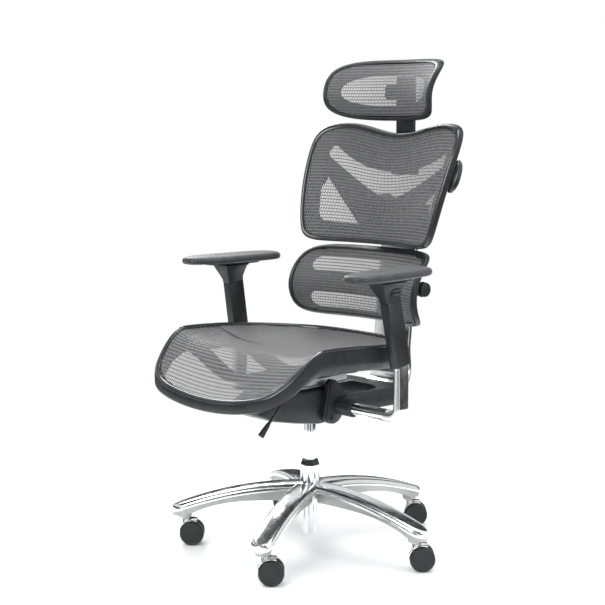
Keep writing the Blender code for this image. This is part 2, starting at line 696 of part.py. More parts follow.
def seat():
    """Seat frame with its rim, cross-ribs and rail feet, the mesh, and the sliding plate below."""
    half_length = (SEAT_REAR - SEAT_FRONT) / 2
    cushion = Cushion(
        seat_surface, SEAT_HALF_WIDTH, half_length, SEAT_SQUARENESS, (0, 0, -1), 40
    )
    section = [
        (0.004, 0.0),
        (RIM_WIDTH - 0.003, 0.001),
        (RIM_WIDTH, 0.006),
        (RIM_WIDTH + 0.004, lambda t: seat_rim_depth(t) - 0.004),
        (0.010, seat_rim_depth),
        (0.0, lambda t: seat_rim_depth(t) * 0.7),
        (0.0, 0.006),
    ]
    frame = add_part("seat_frame", cushion.rim(section), "black_plastic")
    floor_high = HOUSING_TOP + 2 * SEAT_PLATE_THICKNESS + RAIL_HEIGHT
    for y_front, y_rear, half in ((-0.215, -0.165, 0.5), (-0.065, 0.0, 0.5), (0.075, 0.125, 0.5)):
        combine(frame, seat_rib(y_front, y_rear, floor_high, half), "UNION")
    keel = box((-0.058, -0.205, floor_high), (0.058, 0.110, floor_high + 0.008), 0.002)
    combine(frame, keel, "UNION")
    add_part("seat_mesh", cushion.panel(RIM_WIDTH + 0.0012, 0.003, MESH_THICKNESS), "grey_mesh")


def seat_rib(y_front, y_rear, floor, middle):
    """A rib that runs under the mesh from rim to rim, hanging down to the rails in the middle."""
    rings = []
    inset = (RIM_WIDTH - 0.002) / SEAT_HALF_WIDTH
    for k in range(13):
        s = (k - 6) / 6
        rise = smooth_step(abs(s), 0.28, 0.95)
        ring = []
        for y, lift in ((y_front, 0), (y_rear, 0), (y_rear, 0.008), (y_front, 0.008)):
            t = 2 * (y - SEAT_FRONT) / (SEAT_REAR - SEAT_FRONT) - 1
            edge = (1 - abs(t) ** seat_power(t)) ** (1 / seat_power(t)) * (1 - inset)
            half = SEAT_HALF_WIDTH * (1 - 0.10 * max(0.0, t) ** 2) * edge
            high = rim_height(edge, y) - seat_rim_depth(t) + 0.006
            ring.append(Vector((half * s, y, floor + (high - floor) * rise + lift)))
        rings.append(ring)
    return loft(rings)


def seat_support():
    """Steel plate that tilts on the housing, with the two rails that the seat slides on."""
    low = HOUSING_TOP + 0.003
    high = low + SEAT_PLATE_THICKNESS
    plate_part = add_part(
        "seat_plate",
        box((-SEAT_PLATE_HALF, -0.195, low), (SEAT_PLATE_HALF, 0.085, high), 0.001, 1),
        "steel",
        (0, SEAT_PIVOT_Y, low),
    )
    window = box((-0.030, -0.120, low - 0.01), (0.030, 0.030, high + 0.01))
    combine(plate_part, window, "DIFFERENCE")
    rail_top = HOUSING_TOP + 2 * SEAT_PLATE_THICKNESS + RAIL_HEIGHT - PLAY
    for side in (-1, 1):
        x = side * 0.046
        combine(plate_part, box((x - 0.010, -0.175, low + 0.001), (x + 0.010, 0.070, rail_top)), "UNION")


def spine():
    """Polished flat bar: back from the yoke, up round one bend, then straight up behind the back."""
    start = YOKE_REAR + GAP
    level = YOKE_TOP - YOKE_DEPTH / 2
    bend = arc((SPINE_Y - SPINE_BEND, level + SPINE_BEND), SPINE_BEND, -90, 0, 10)
    path = [Vector((0, start, level)), Vector((0, start + 0.006, level))]
    path += [Vector((0, y, z)) for y, z in bend if y > start + 0.010]
    path += [Vector((0, spine_y(z), z)) for z in (0.50, SPINE_TOP)]

    def section(share):
        narrowing = 1 - 0.12 * smooth_step(share, 0.2, 0.9)
        return rounded_section(SPINE_HALF_WIDTH * narrowing, SPINE_THICKNESS / 2, 0.005)

    add_part("spine", swept(path, (1, 0, 0), section), "polished_aluminium")


def spine_y(z):
    """Middle of the spine's straight part at a height."""
    return SPINE_Y + SPINE_LEAN * (z - 0.50)


def back_lean(z):
    """How far back the sides of the upper back stand at a height."""
    rise = z - BACK_BOTTOM
    return BACK_Y + 0.10 * rise + 0.75 * rise * rise


def back_half_width(share):
    return BACK_HALF_WIDTH * (0.855 + 0.145 * math.sin(math.pi / 2 * min(1.0, share * 1.15)) ** 0.8)


def back_top_edge(s):
    """The top edge dips in the middle between two lobes."""
    return BACK_TOP + 0.026 * math.sin(math.pi / 2 * min(abs(s) / 0.74, 1.0)) ** 2


def back_surface(s, t):
    share = (t + 1) / 2
    z = BACK_BOTTOM + (back_top_edge(s) - BACK_BOTTOM) * share
    x = back_half_width(share) * s
    return Vector((x, back_lean(z) + BACK_BULGE * (1 - s * s), z))


def back_plane(x, z):
    """Front surface of the upper back at a place given by x and z."""
    s = x / back_half_width((z - BACK_BOTTOM) / (BACK_TOP - BACK_BOTTOM))
    return back_lean(z) + BACK_BULGE * (1 - s * s)


def tray(cushion, lip, recess, depth):
    """Frame with a closed rear shell: a lip round the edge and a recess that the mesh spans."""
    shell = recess + 0.004
    shares = (0.08, 0.36, 0.68)
    rings = [cushion.ring(lip, recess, share) for share in shares]
    rings += [cushion.ring(lip, recess), cushion.ring(lip, 0.003), cushion.ring(lip - 0.003, 0.0)]
    rings += [cushion.ring(0.003, 0.0), cushion.ring(0.0, 0.004), cushion.ring(0.0, depth - 0.005)]
    rings += [cushion.ring(0.004, depth), cushion.ring(lip + 0.004, depth)]
    rings += [cushion.ring(lip + 0.008, shell, share) for share in (1.0, *reversed(shares))]
    return loft(rings)


def upper_back():
    """Frame, mesh, Y-shaped support, headrest holder and the carriage that climbs the spine."""
    half_height = (BACK_TOP - BACK_BOTTOM) / 2
    cushion = Cushion(back_surface, BACK_HALF_WIDTH, half_height, (6.0, 12.0), (0, 1, 0), 44)
    section = [(0.003, 0.0), (BACK_LIP - 0.002, 0.0), (BACK_LIP, 0.003), (BACK_LIP, 0.012)]
    section += [(BACK_FLANGE, 0.014), (BACK_FLANGE, 0.018), (BACK_LIP + 0.004, BACK_DEPTH)]
    section += [(0.003, BACK_DEPTH), (0.0, BACK_DEPTH - 0.005), (0.0, 0.004)]
    add_part("upper_back_frame", cushion.rim(section), "black_plastic")
    add_part("upper_back_mesh", cushion.panel(BACK_LIP + 0.0012, 0.004, MESH_THICKNESS), "grey_mesh")

    behind = BACK_DEPTH + 0.0035
    arms = back_strip(support_low, support_high, 0.205, behind, 0.009)
    support = add_part("back_support", arms, "black_plastic")
    for side in (-1, 1):
        y = back_plane(0.2, 0.86) + behind + 0.004
        block = box((side * 0.200 - 0.014, y, 0.822), (side * 0.200 + 0.014, y + 0.030, 0.908), 0.009)
        combine(support, block, "UNION")

    holder = add_part(
        "headrest_holder", back_strip(holder_low, holder_high, 0.196, behind, 0.008), "black_plastic"
    )
    stem_y = headrest_stem_y()
    low = (-STEM_HALF - 0.010, stem_y - 0.0185, 0.896)
    high = (STEM_HALF + 0.010, stem_y + 0.014, BACK_TOP - 0.030)
    combine(holder, box(low, high, 0.004), "UNION")
    slot_low = (-STEM_HALF - PLAY, stem_y - STEM_THICKNESS / 2 - PLAY, 0.8)
    slot_high = (STEM_HALF + PLAY, stem_y + STEM_THICKNESS / 2 + PLAY, 1.2)
    combine(holder, box(slot_low, slot_high), "DIFFERENCE")

    low_z, high_z = BACK_BOTTOM + 0.008, BACK_BOTTOM + 0.098
    low_z, high_z = min(low_z, SPINE_TOP - 0.03), max(high_z, SPINE_TOP + 0.02)
    half, wall = SPINE_THICKNESS / 2, 0.008
    sleeve = spine_block(low_z, high_z, SPINE_HALF_WIDTH + 0.012, half + wall)
    carriage = add_part("back_carriage", sleeve, "black_plastic")
    bridge = back_strip(support_low, support_high, 0.041, behind + 0.009 + 3 * GAP, 0.051, 4)
    combine(carriage, bridge, "UNION")
    room = spine_block(low_z - 0.05, high_z + 0.05, SPINE_HALF_WIDTH + PLAY, half + PLAY)
    combine(carriage, room, "DIFFERENCE")


def spine_block(low_z, high_z, half_width, half_depth):
    """A block that follows the spine's lean."""
    rings = []
    for z in (low_z, high_z):
        section = rounded_section(half_width, half_depth, min(0.005, half_depth * 0.5))
        rings.append([Vector((a, spine_y(z) + b, z)) for a, b in section])
    return loft(rings)


def back_strip(low_edge, high_edge, reach, depth, thickness, steps=20):
    """A curved panel behind the upper back between two edges that are functions of x."""
    rings = []
    for k in range(steps + 1):
        x = reach * (2 * k / steps - 1)
        low, high = low_edge(abs(x)), high_edge(abs(x))
        ring = []
        for z, back in ((low, 0.0), (high, 0.0), (high, thickness), (low, thickness)):
            ring.append(Vector((x, back_plane(x, z) + depth + back, z)))
        rings.append(ring)
    return loft(rings)


def support_low(x):
    return BACK_BOTTOM + 0.014 + 1.03 * max(0.0, x - 0.050)


def support_high(x):
    return BACK_BOTTOM + 0.108 + 0.101 * (x / 0.2) ** 1.3


def holder_low(x):
    return BACK_TOP - 0.096 + 0.062 * (x / 0.19) ** 2.2


def holder_high(x):
    return BACK_TOP - 0.016 + 0.012 * (x / 0.19) ** 2


def headrest_stem_y():
    return back_plane(0, BACK_TOP) + BACK_DEPTH + PLAY + STEM_THICKNESS / 2 + 0.002


def lumbar_surface(s, t):
    z = LUMBAR_BOTTOM + (LUMBAR_TOP - LUMBAR_BOTTOM) * (t + 1) / 2
    x = LUMBAR_HALF_WIDTH * (0.965 + 0.035 * math.cos(math.pi / 2 * t)) * s
    bow = 7.0 * (z - (LUMBAR_BOTTOM + 0.42 * (LUMBAR_TOP - LUMBAR_BOTTOM))) ** 2
    return Vector((x, LUMBAR_Y + bow + LUMBAR_BULGE * (1 - s * s), z))


def slot_outline(half_width, low, high):
    """A long slot with round ends, as (x, z) points."""
    radius, middle = (high - low) / 2, (high + low) / 2
    reach = half_width - radius
    return arc((reach, middle), radius, -90, 90, 6) + arc((-reach, middle), radius, 90, 270, 6)


def through_cut(part, outline, depth=0.45):
    """Cuts an (x, z) outline right through a part from front to back."""
    combine(part, plate(outline, lambda a, b, y: Vector((a, y, b)), 0.0, depth), "DIFFERENCE")


def lumbar():
    """Lumbar frame with two slots in its shell, its mesh, and the bracket from the spine."""
    half_height = (LUMBAR_TOP - LUMBAR_BOTTOM) / 2
    cushion = Cushion(lumbar_surface, LUMBAR_HALF_WIDTH, half_height, 8.0, (0, 1, 0), 32)
    frame = add_part("lumbar_frame", tray(cushion, 0.009, 0.012, PAD_DEPTH), "black_plastic")
    through_cut(frame, slot_outline(0.170, LUMBAR_TOP - 0.063, LUMBAR_TOP - 0.030))
    through_cut(frame, slot_outline(0.165, LUMBAR_BOTTOM + 0.022, LUMBAR_BOTTOM + 0.062))
    add_part("lumbar_mesh", cushion.panel(0.0102, 0.004, MESH_THICKNESS), "grey_mesh")

    middle = lumbar_pivot().z
    rings = []
    for k in range(17):
        s = 0.93 * (k / 8 - 1)
        place = lumbar_surface(s, 2 * (middle - LUMBAR_BOTTOM) / (LUMBAR_TOP - LUMBAR_BOTTOM) - 1)
        front = place.y + PAD_DEPTH + 0.004
        ring = [(front, middle - 0.014), (front, middle + 0.014)]
        ring += [(front + 0.010, middle + 0.014), (front + 0.010, middle - 0.014)]
        rings.append([Vector((place.x, y, z)) for y, z in ring])
    bracket = add_part("lumbar_bracket", loft(rings), "black_plastic")
    rear = spine_y(middle - 0.024) - SPINE_THICKNESS / 2 - 2 * GAP
    front = LUMBAR_Y + LUMBAR_BULGE + PAD_DEPTH + 0.008
    low, high = (-0.030, front, middle - 0.024), (0.030, rear, middle + 0.024)
    combine(bracket, box(low, high, 0.005), "UNION")
    for side in (-1, 1):
        x, y = LUMBAR_HALF_WIDTH * 0.92, lumbar_pivot().y
        knob = cylinder((side * x, y, middle), (side * (x + 0.013), y, middle), 0.019, 20, 0.017)
        combine(bracket, knob, "UNION")


def lumbar_pivot():
    side = lumbar_surface(0.93, 0.07)
    return Vector((0, side.y + PAD_DEPTH + 0.025, (LUMBAR_TOP + LUMBAR_BOTTOM) / 2 + 0.006))


def headrest_surface(s, t):
    z = HEADREST_BOTTOM + (HEADREST_TOP - HEADREST_BOTTOM) * (t + 1) / 2
    x = HEADREST_HALF_WIDTH * (1.0 - 0.03 * (1 - t)) * s
    z -= 0.006 * (1 - s * s) * (t < 0) * -t
    bow = 8.0 * (z - HEADREST_BOTTOM - 0.37 * (HEADREST_TOP - HEADREST_BOTTOM)) ** 2
    return Vector((x, HEADREST_Y + bow + HEADREST_BULGE * (1 - s * s), z))


def headrest_pivot():
    middle = (HEADREST_TOP + HEADREST_BOTTOM) / 2 - 0.008
    return Vector((0, headrest_surface(0, -0.1).y + PAD_DEPTH + 0.018, middle))


def headrest():
    """Headrest frame with an oval window, its mesh, its pivot and the stem that slides in the holder."""
    half_height = (HEADREST_TOP - HEADREST_BOTTOM) / 2
    cushion = Cushion(headrest_surface, HEADREST_HALF_WIDTH, half_height, 3.6, (0, 1, 0), 28)
    pivot = headrest_pivot()
    frame = add_part("headrest_frame", tray(cushion, 0.009, 0.012, PAD_DEPTH), "black_plastic", pivot)
    window = [
        (0.140 * s, (HEADREST_TOP + HEADREST_BOTTOM) / 2 - 0.004 + 0.038 * t)
        for s, t in (squircle(2 * math.pi * k / 24, 2.6) for k in range(24))
    ]
    through_cut(frame, window)
    mesh = cushion.panel(0.0102, 0.004, MESH_THICKNESS)
    add_part("headrest_mesh", mesh, "grey_mesh", pivot)

    front = headrest_surface(0, -0.1).y + PAD_DEPTH + 0.0035
    knuckle = box((-0.032, front, pivot.z - 0.018), (0.032, pivot.y, pivot.z + 0.018), 0.003)
    part = add_part("headrest_pivot", knuckle, "black_plastic", pivot)
    ends = [(side * 0.0335, pivot.y, pivot.z) for side in (-1, 1)]
    combine(part, cylinder(*ends, 0.0095, 20), "UNION")

    stem_y = headrest_stem_y()
    half = STEM_THICKNESS / 2
    stem = add_part(
        "headrest_stem",
        box((-STEM_HALF, stem_y - half, 0.850), (STEM_HALF, stem_y + half, pivot.z + 0.010), 0.003),
        "black_plastic",
    )
    low = (-0.0425, stem_y - half + 0.0015, pivot.z - 0.016)
    high = (0.0425, stem_y + half, pivot.z + 0.016)
    combine(stem, box(low, high, 0.002), "UNION")
    for side in (-1, 1):
        ear_low = (min(side * 0.0341, side * 0.0420), pivot.y - 0.012, pivot.z - 0.014)
        ear_high = (max(side * 0.0341, side * 0.0420), stem_y, pivot.z + 0.014)
        combine(stem, box(ear_low, ear_high, 0.002), "UNION")


class ArmFrame:
    """Directions and points of one arm. The sleeve leans forward and a little inward."""

    def __init__(self, side):
        self.side = side
        self.up = Vector((SLEEVE_LEAN.x * side, SLEEVE_LEAN.y, SLEEVE_LEAN.z))
        self.along = (Vector((0, 1, 0)) - self.up * self.up.y).normalized()
        self.across = self.along.cross(self.up) * side
        self.foot = Vector((side * ARM_CENTRE, ARM_Y, SLEEVE_BOTTOM))

    def at(self, z):
        """Point of the sleeve's centre line at a height."""
        return self.foot + self.up * ((z - SLEEVE_BOTTOM) / self.up.z)

    def ring(self, z, half_along, half_across, corner):
        """Section square to the sleeve."""
        section = rounded_section(half_along, half_across, corner)
        return [self.at(z) + self.along * a + self.across * b for a, b in section]

    def level_ring(self, z, half_along, half_across, corner):
        """Section laid level."""
        section = rounded_section(half_along, half_across, corner)
        return [self.at(z) + Vector((self.side * b, a, 0)) for a, b in section]


def arm(side, hand):
    frame = ArmFrame(side)
    bar_start = ARM_CENTRE - 0.036
    outer = HOUSING_HALF + PLAY + CHEEK_WIDTH
    inner_end = (side * (outer + 0.010 + GAP), ARM_Y, ARM_TUBE_Z)
    outer_end = (side * (bar_start - GAP), ARM_Y, ARM_TUBE_Z)
    add_part(f"arm_{hand}_tube", cylinder(inner_end, outer_end, ARM_TUBE_RADIUS, 24), "chrome")

    bend = 0.026
    turn = arc((ARM_CENTRE - bend + 0.002, ARM_TUBE_Z + bend), bend, -90, 0, 6)
    kink = SLEEVE_BOTTOM - 0.007
    path = [Vector((side * bar_start, ARM_Y, ARM_TUBE_Z))]
    path += [Vector((side * x, ARM_Y, z)) for x, z in turn]
    path += [frame.at(kink), frame.at(SLEEVE_BOTTOM + 0.020)]

    def bar_section(share):
        grown = 1 + 0.10 * (1 - share)
        return rounded_section(ARM_BAR_WIDTH / 2 * grown, ARM_BAR_THICKNESS / 2 * grown, 0.007)

    add_part(f"arm_{hand}_bar", swept(path, (0, 1, 0), bar_section), "polished_aluminium")

    half_y, half_x = SLEEVE_WIDTH / 2, SLEEVE_THICKNESS / 2
    room_y, room_x = ARM_BAR_WIDTH / 2 + 0.0012, ARM_BAR_THICKNESS / 2 + 0.0006
    sleeve = loft(
        [
            frame.ring(SLEEVE_BOTTOM, half_y, half_x, 0.007),
            frame.ring(SLEEVE_TOP, half_y, half_x, 0.007),
            frame.ring(SLEEVE_TOP, room_y, room_x, 0.004),
            frame.ring(SLEEVE_BOTTOM, room_y, room_x, 0.004),
        ],
        closed=True,
    )
    add_part(f"arm_{hand}_sleeve", sleeve, "black_plastic")

    post_y, post_x = room_y - PLAY, room_x - PLAY / 2
    head_base = SLEEVE_TOP + GAP
    head = loft(
        [
            frame.ring(SLEEVE_BOTTOM + 0.026, post_y, post_x, 0.004),
            frame.ring(head_base, post_y, post_x, 0.004),
            frame.ring(head_base, half_y, half_x, 0.007),
            frame.ring(head_base + 0.010, half_y + 0.001, half_x + 0.001, 0.007),
            frame.ring(HEAD_TOP - 0.010, half_y + 0.010, half_x + 0.010, 0.009),
            frame.level_ring(HEAD_TOP, half_y + 0.016, half_x + 0.016, 0.010),
        ]
    )
    head_part = add_part(f"arm_{hand}_head", head, "black_plastic")
    button_at = frame.at(HEAD_TOP - 0.021)
    outward = Vector((side, 0, 0))
    low = button_at + outward * 0.0095 + Vector((0, -0.012, -0.007))
    combine(head_part, span(low, 0.03 * side, 0.024, 0.014, PLAY), "DIFFERENCE")
    low = button_at + outward * 0.0125 + Vector((0, -0.012, -0.007))
    button = span(low, 0.0105 * side, 0.024, 0.014, 0.0)
    add_part(f"arm_{hand}_trigger", button, "black_plastic", button_at)

    top = frame.at(HEAD_TOP)
    plate_low = HEAD_TOP + 0.002
    pad_low = plate_low + 0.005 + GAP
    carrier = pad_outline(side, top, PAD_LENGTH * 0.55, PAD_HALF_WIDTH * 0.62)
    place = plate(carrier, lambda a, b, z: Vector((a, b, z)), plate_low, plate_low + 0.005)
    part = add_part(f"arm_{hand}_pad_plate", place, "dark_metal", (top.x, top.y, plate_low))
    disc = cylinder((top.x, top.y, HEAD_TOP + GAP), (top.x, top.y, plate_low + 0.002), 0.017)
    combine(part, disc, "UNION")
    rings = []
    for z_share, grow in ((0.0, 0.90), (0.25, 0.98), (0.62, 1.0), (0.88, 0.975), (1.0, 0.90)):
        outline = pad_outline(side, top, PAD_LENGTH, PAD_HALF_WIDTH, grow)
        rings.append([Vector((a, b, pad_low + PAD_THICKNESS * z_share)) for a, b in outline])
    add_part(f"arm_{hand}_pad", loft(rings), "pad_skin", (top.x, top.y, pad_low))


def span(corner, reach, length, height, spare):
    """A box from a corner, reaching along X either way, enlarged by spare."""
    far = corner + Vector((reach, length, height))
    low = Vector((min(corner.x, far.x), corner.y, corner.z)) - Vector((0, spare, spare))
    high = Vector((max(corner.x, far.x), far.y, far.z)) + Vector((0, spare, spare))
    return box(low, high, 0.0015 if spare == 0 else 0.0, 1)


def pad_outline(side, pivot, length, half_width, grow=1.0):
    """Plan of an arm pad, toed out about its pivot: drawn in towards the front, blunt behind."""
    turn = PAD_TOE_OUT * side
    points = []
    for k in range(28):
        s, t = squircle(2 * math.pi * k / 28, 3.2)
        half = half_width * (1.0 - 0.16 * max(0.0, -t) ** 1.5) - (1 - grow) * half_width
        across, along = half * s, PAD_CENTRE_Y - pivot.y + (length / 2 - (1 - grow) * half_width) * t
        points.append(
            (
                pivot.x + across * math.cos(turn) - along * math.sin(turn),
                pivot.y + across * math.sin(turn) + along * math.cos(turn),
            )
        )
    return points


def centre_on_floor():
    """Moves the chair so that the middle of its box is over the origin."""
    bpy.context.view_layer.update()
    graph = bpy.context.evaluated_depsgraph_get()
    lows, highs = [], []
    for part in PARTS.objects:
        if part.type != "MESH":
            continue
        shape = part.evaluated_get(graph)
        corners = [shape.matrix_world @ vertex.co for vertex in shape.data.vertices]
        lows.append([min(corner[axis] for corner in corners) for axis in range(3)])
        highs.append([max(corner[axis] for corner in corners) for axis in range(3)])
    for axis in (0, 1):
        middle = (min(low[axis] for low in lows) + max(high[axis] for high in highs)) / 2
        CHAIR.location[axis] = -middle


clear_scene()
PARTS = new_collection("swivel_office_chair")
CUTTERS = new_collection("cutters")
CUTTERS.hide_render = True
CHAIR = bpy.data.objects.new("chair", None)
PARTS.objects.link(CHAIR)

star_base()
column()
casters()
mechanism()
lever()
yoke()
seat()
seat_support()
spine()
upper_back()
lumbar()
headrest()
arm(1, "left")
arm(-1, "right")
centre_on_floor()
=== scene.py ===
"""Visual model of a swivel office chair: mesh seat, two-part mesh back, mesh headrest and a polished base.

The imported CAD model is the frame. Each class below is one sub-assembly: it holds its sizes in metres,
drawn about the column's axis, builds its pieces and dresses them.
"""

import json
import logging
import math
from collections.abc import Callable, Sequence
from dataclasses import dataclass, field
from enum import Enum

import bmesh
import bpy
from mathutils import Matrix, Vector

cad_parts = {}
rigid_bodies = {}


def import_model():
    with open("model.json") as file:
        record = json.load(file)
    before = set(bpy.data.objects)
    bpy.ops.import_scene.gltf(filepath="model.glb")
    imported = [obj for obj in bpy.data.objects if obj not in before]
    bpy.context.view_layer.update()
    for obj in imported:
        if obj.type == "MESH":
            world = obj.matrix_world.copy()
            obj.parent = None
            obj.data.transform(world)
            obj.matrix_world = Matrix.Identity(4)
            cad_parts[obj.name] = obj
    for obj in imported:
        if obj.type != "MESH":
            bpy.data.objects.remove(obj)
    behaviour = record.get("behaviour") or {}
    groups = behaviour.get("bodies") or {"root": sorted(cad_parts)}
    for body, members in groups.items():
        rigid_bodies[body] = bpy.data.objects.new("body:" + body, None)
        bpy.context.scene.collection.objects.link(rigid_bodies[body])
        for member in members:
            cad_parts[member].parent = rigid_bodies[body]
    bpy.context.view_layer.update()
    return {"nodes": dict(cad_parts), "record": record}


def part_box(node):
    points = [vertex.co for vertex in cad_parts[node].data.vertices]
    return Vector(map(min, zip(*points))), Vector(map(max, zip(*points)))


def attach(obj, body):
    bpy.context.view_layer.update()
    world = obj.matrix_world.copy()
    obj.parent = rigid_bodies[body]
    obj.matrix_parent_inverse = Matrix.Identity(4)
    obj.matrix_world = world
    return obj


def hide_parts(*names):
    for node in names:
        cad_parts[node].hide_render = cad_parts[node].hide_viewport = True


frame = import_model()

LOG = logging.getLogger("office_chair")
COLUMN = sum(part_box("gas_cylinder"), Vector()) / 2
COLUMN.z = 0.0
BODY_OF = {node: body for body, nodes in frame["record"]["behaviour"]["bodies"].items() for node in nodes}
UP = Vector((0, 0, 1))

Point = tuple[float, float]
Surface = Callable[[float, float], Vector]
Depth = float | Callable[[float], float]
Colour = tuple[float, float, float]

YARN = 0.0008
BACK_CELL: Point = (0.0048, 0.0072)
BACK_SLIT: Point = (0.54, 0.72)
SEAT_CELL: Point = (0.0058, 0.0076)
SEAT_SLIT: Point = (0.54, 0.70)
CLOTH_DEPTH = 0.0052
TRAY_CLOTH_INSET = 0.0088
TRAY_LIP = 0.009
TRAY_RECESS = 0.012
TRAY_MARGIN = 0.018
ARM_SIDES = 33
CAST_SIDES = (0, 1, 2, 3, 4, 31, 32)
METAL_EDGE = 0.0006
TRIM_EDGE = 0.0008
TURNED_EDGE = 0.0004
MOULD_EDGE = 0.0015
RAMP_FROM, RAMP_TO = 0.35, 0.65
VARY_FROM, VARY_TO = 0.3, 0.7


class Slot(Enum):
    """Material slots of the record."""

    ALUMINIUM = "polished_aluminium"
    CHROME = "chrome"
    STEEL = "steel"
    PLASTIC = "black_plastic"
    DARK_METAL = "dark_metal"
    RUBBER = "wheel_rubber"
    MESH = "grey_mesh"
    PAD = "pad_skin"


class Side(Enum):
    """Arms and wheels by the sitter's hand: the value is the sign of X."""

    LEFT = 1
    RIGHT = -1

    @property
    def hand(self) -> str:
        """The side's name in the CAD nodes."""
        return self.name.lower()


# ---------------------------------------------------------------- finishes


class Recipe:
    """A material being mixed: its shader and the nodes that feed it."""

    def __init__(self, name: str) -> None:
        """Starts a material with one Principled shader.

        Args:
            name: the material's name.
        """
        self.material = bpy.data.materials.new(name)
        self.material.use_nodes = True
        self.tree = self.material.node_tree
        self.shader = self.tree.nodes["Principled BSDF"]
        self.coords = self.tree.nodes.new("ShaderNodeTexCoord").outputs["Object"]

    def set(self, **values: float | tuple[float, ...]) -> None:
        """Sets constant values on the shader's own sockets, named with underscores for spaces."""
        for name, value in values.items():
            self.shader.inputs[name.replace("_", " ")].default_value = value

    def noise(
        self, scale: float, detail: float = 3.0, stretch: tuple[float, ...] = (1, 1, 1)
    ) -> bpy.types.NodeSocket:
        """Noise on Object coordinates.

        Args:
            scale: repeats per metre.
            detail: octaves.
            stretch: scale of each axis, for streaks.

        Returns:
            The factor's socket.
        """
        mapping = self.tree.nodes.new("ShaderNodeMapping")
        mapping.inputs["Scale"].default_value = stretch
        texture = self.tree.nodes.new("ShaderNodeTexNoise")
        texture.inputs["Scale"].default_value = scale
        texture.inputs["Detail"].default_value = detail
        self.tree.links.new(self.coords, mapping.inputs["Vector"])
        self.tree.links.new(mapping.outputs["Vector"], texture.inputs["Vector"])
        return texture.outputs["Fac"]

    def cells(self, scale: float) -> bpy.types.NodeSocket:
        """Distance to the nearest grain of a leather-like pattern."""
        texture = self.tree.nodes.new("ShaderNodeTexVoronoi")
        texture.feature = "DISTANCE_TO_EDGE"
        texture.inputs["Scale"].default_value = scale
        self.tree.links.new(self.coords, texture.inputs["Vector"])
        return texture.outputs["Distance"]

    def blend(self, factor: bpy.types.NodeSocket, low: Colour, high: Colour, target: str) -> None:
        """Feeds a colour socket from two colours.

        Args:
            factor: what chooses between them, read between RAMP_FROM and RAMP_TO.
            low: the first colour.
            high: the second colour.
            target: the shader's socket.
        """
        ramp = self.tree.nodes.new("ShaderNodeValToRGB")
        ramp.color_ramp.elements[0].position = RAMP_FROM
        ramp.color_ramp.elements[1].position = RAMP_TO
        ramp.color_ramp.elements[0].color = (*low, 1.0)
        ramp.color_ramp.elements[1].color = (*high, 1.0)
        self.tree.links.new(factor, ramp.inputs["Fac"])
        self.tree.links.new(ramp.outputs["Color"], self.shader.inputs[target])

    def vary(self, factor: bpy.types.NodeSocket, low: float, high: float, target: str) -> None:
        """Feeds a number socket with a value between low and high."""
        span = self.tree.nodes.new("ShaderNodeMapRange")
        span.inputs["From Min"].default_value = VARY_FROM
        span.inputs["From Max"].default_value = VARY_TO
        span.inputs["To Min"].default_value = low
        span.inputs["To Max"].default_value = high
        self.tree.links.new(factor, span.inputs["Value"])
        self.tree.links.new(span.outputs["Result"], self.shader.inputs[target])

    def bump(self, height: bpy.types.NodeSocket, depth: float, strength: float = 1.0) -> None:
        """Raises the surface by a height; a second call adds to the first.

        Args:
            height: what drives it.
            depth: height of a full step, in metres.
            strength: share of it that shows.
        """
        node = self.tree.nodes.new("ShaderNodeBump")
        node.inputs["Distance"].default_value = depth
        node.inputs["Strength"].default_value = strength
        self.tree.links.new(height, node.inputs["Height"])
        normal = self.shader.inputs["Normal"]
        if normal.links:
            self.tree.links.new(normal.links[0].from_socket, node.inputs["Normal"])
        self.tree.links.new(node.outputs["Normal"], normal)


@dataclass(frozen=True)
class BrightMetal:
    """Chrome, polished aluminium, steel or a cast face: bright, faintly streaked and rippled."""

    name: str
    colour: Colour
    dull: Colour
    roughness: Point
    ripple: float = 0.0
    grain: float = 0.0

    def mix(self) -> bpy.types.Material:
        """Mixes the material."""
        recipe = Recipe(self.name)
        recipe.set(Metallic=1.0)
        recipe.blend(recipe.noise(7.0), self.dull, self.colour, "Base Color")
        recipe.vary(recipe.noise(45.0, 5.0), *self.roughness, "Roughness")
        if self.ripple:
            recipe.bump(recipe.noise(22.0, 1.0), self.ripple, 0.35)
        if self.grain:
            recipe.bump(recipe.noise(1500.0, 2.0), self.grain, 0.6)
        return recipe.material


@dataclass(frozen=True)
class MouldedPlastic:
    """Moulded plastic: fine spark texture, uneven gloss and a faint change of tone."""

    name: str
    colour: Colour
    light: Colour
    roughness: Point
    texture: float
    coat: float = 0.0

    def mix(self) -> bpy.types.Material:
        """Mixes the material."""
        recipe = Recipe(self.name)
        recipe.set(Specular_IOR_Level=0.5, Coat_Weight=self.coat, Coat_Roughness=0.12)
        recipe.blend(recipe.noise(16.0), self.colour, self.light, "Base Color")
        recipe.vary(recipe.noise(60.0, 4.0), *self.roughness, "Roughness")
        recipe.bump(recipe.noise(2200.0, 3.0), self.texture, 0.5)
        return recipe.material


@dataclass(frozen=True)
class WovenYarn:
    """Polyester yarn of the mesh: twisted filaments and uneven dye."""

    name: str
    dark: Colour
    light: Colour

    def mix(self) -> bpy.types.Material:
        """Mixes the material."""
        recipe = Recipe(self.name)
        recipe.set(Specular_IOR_Level=0.35, Sheen_Weight=0.25, Sheen_Roughness=0.4)
        recipe.blend(recipe.noise(160.0, 4.0), self.dark, self.light, "Base Color")
        recipe.vary(recipe.noise(90.0), 0.5, 0.7, "Roughness")
        recipe.bump(recipe.noise(900.0, 2.0, (1.0, 1.0, 0.25)), 0.0002, 0.7)
        return recipe.material


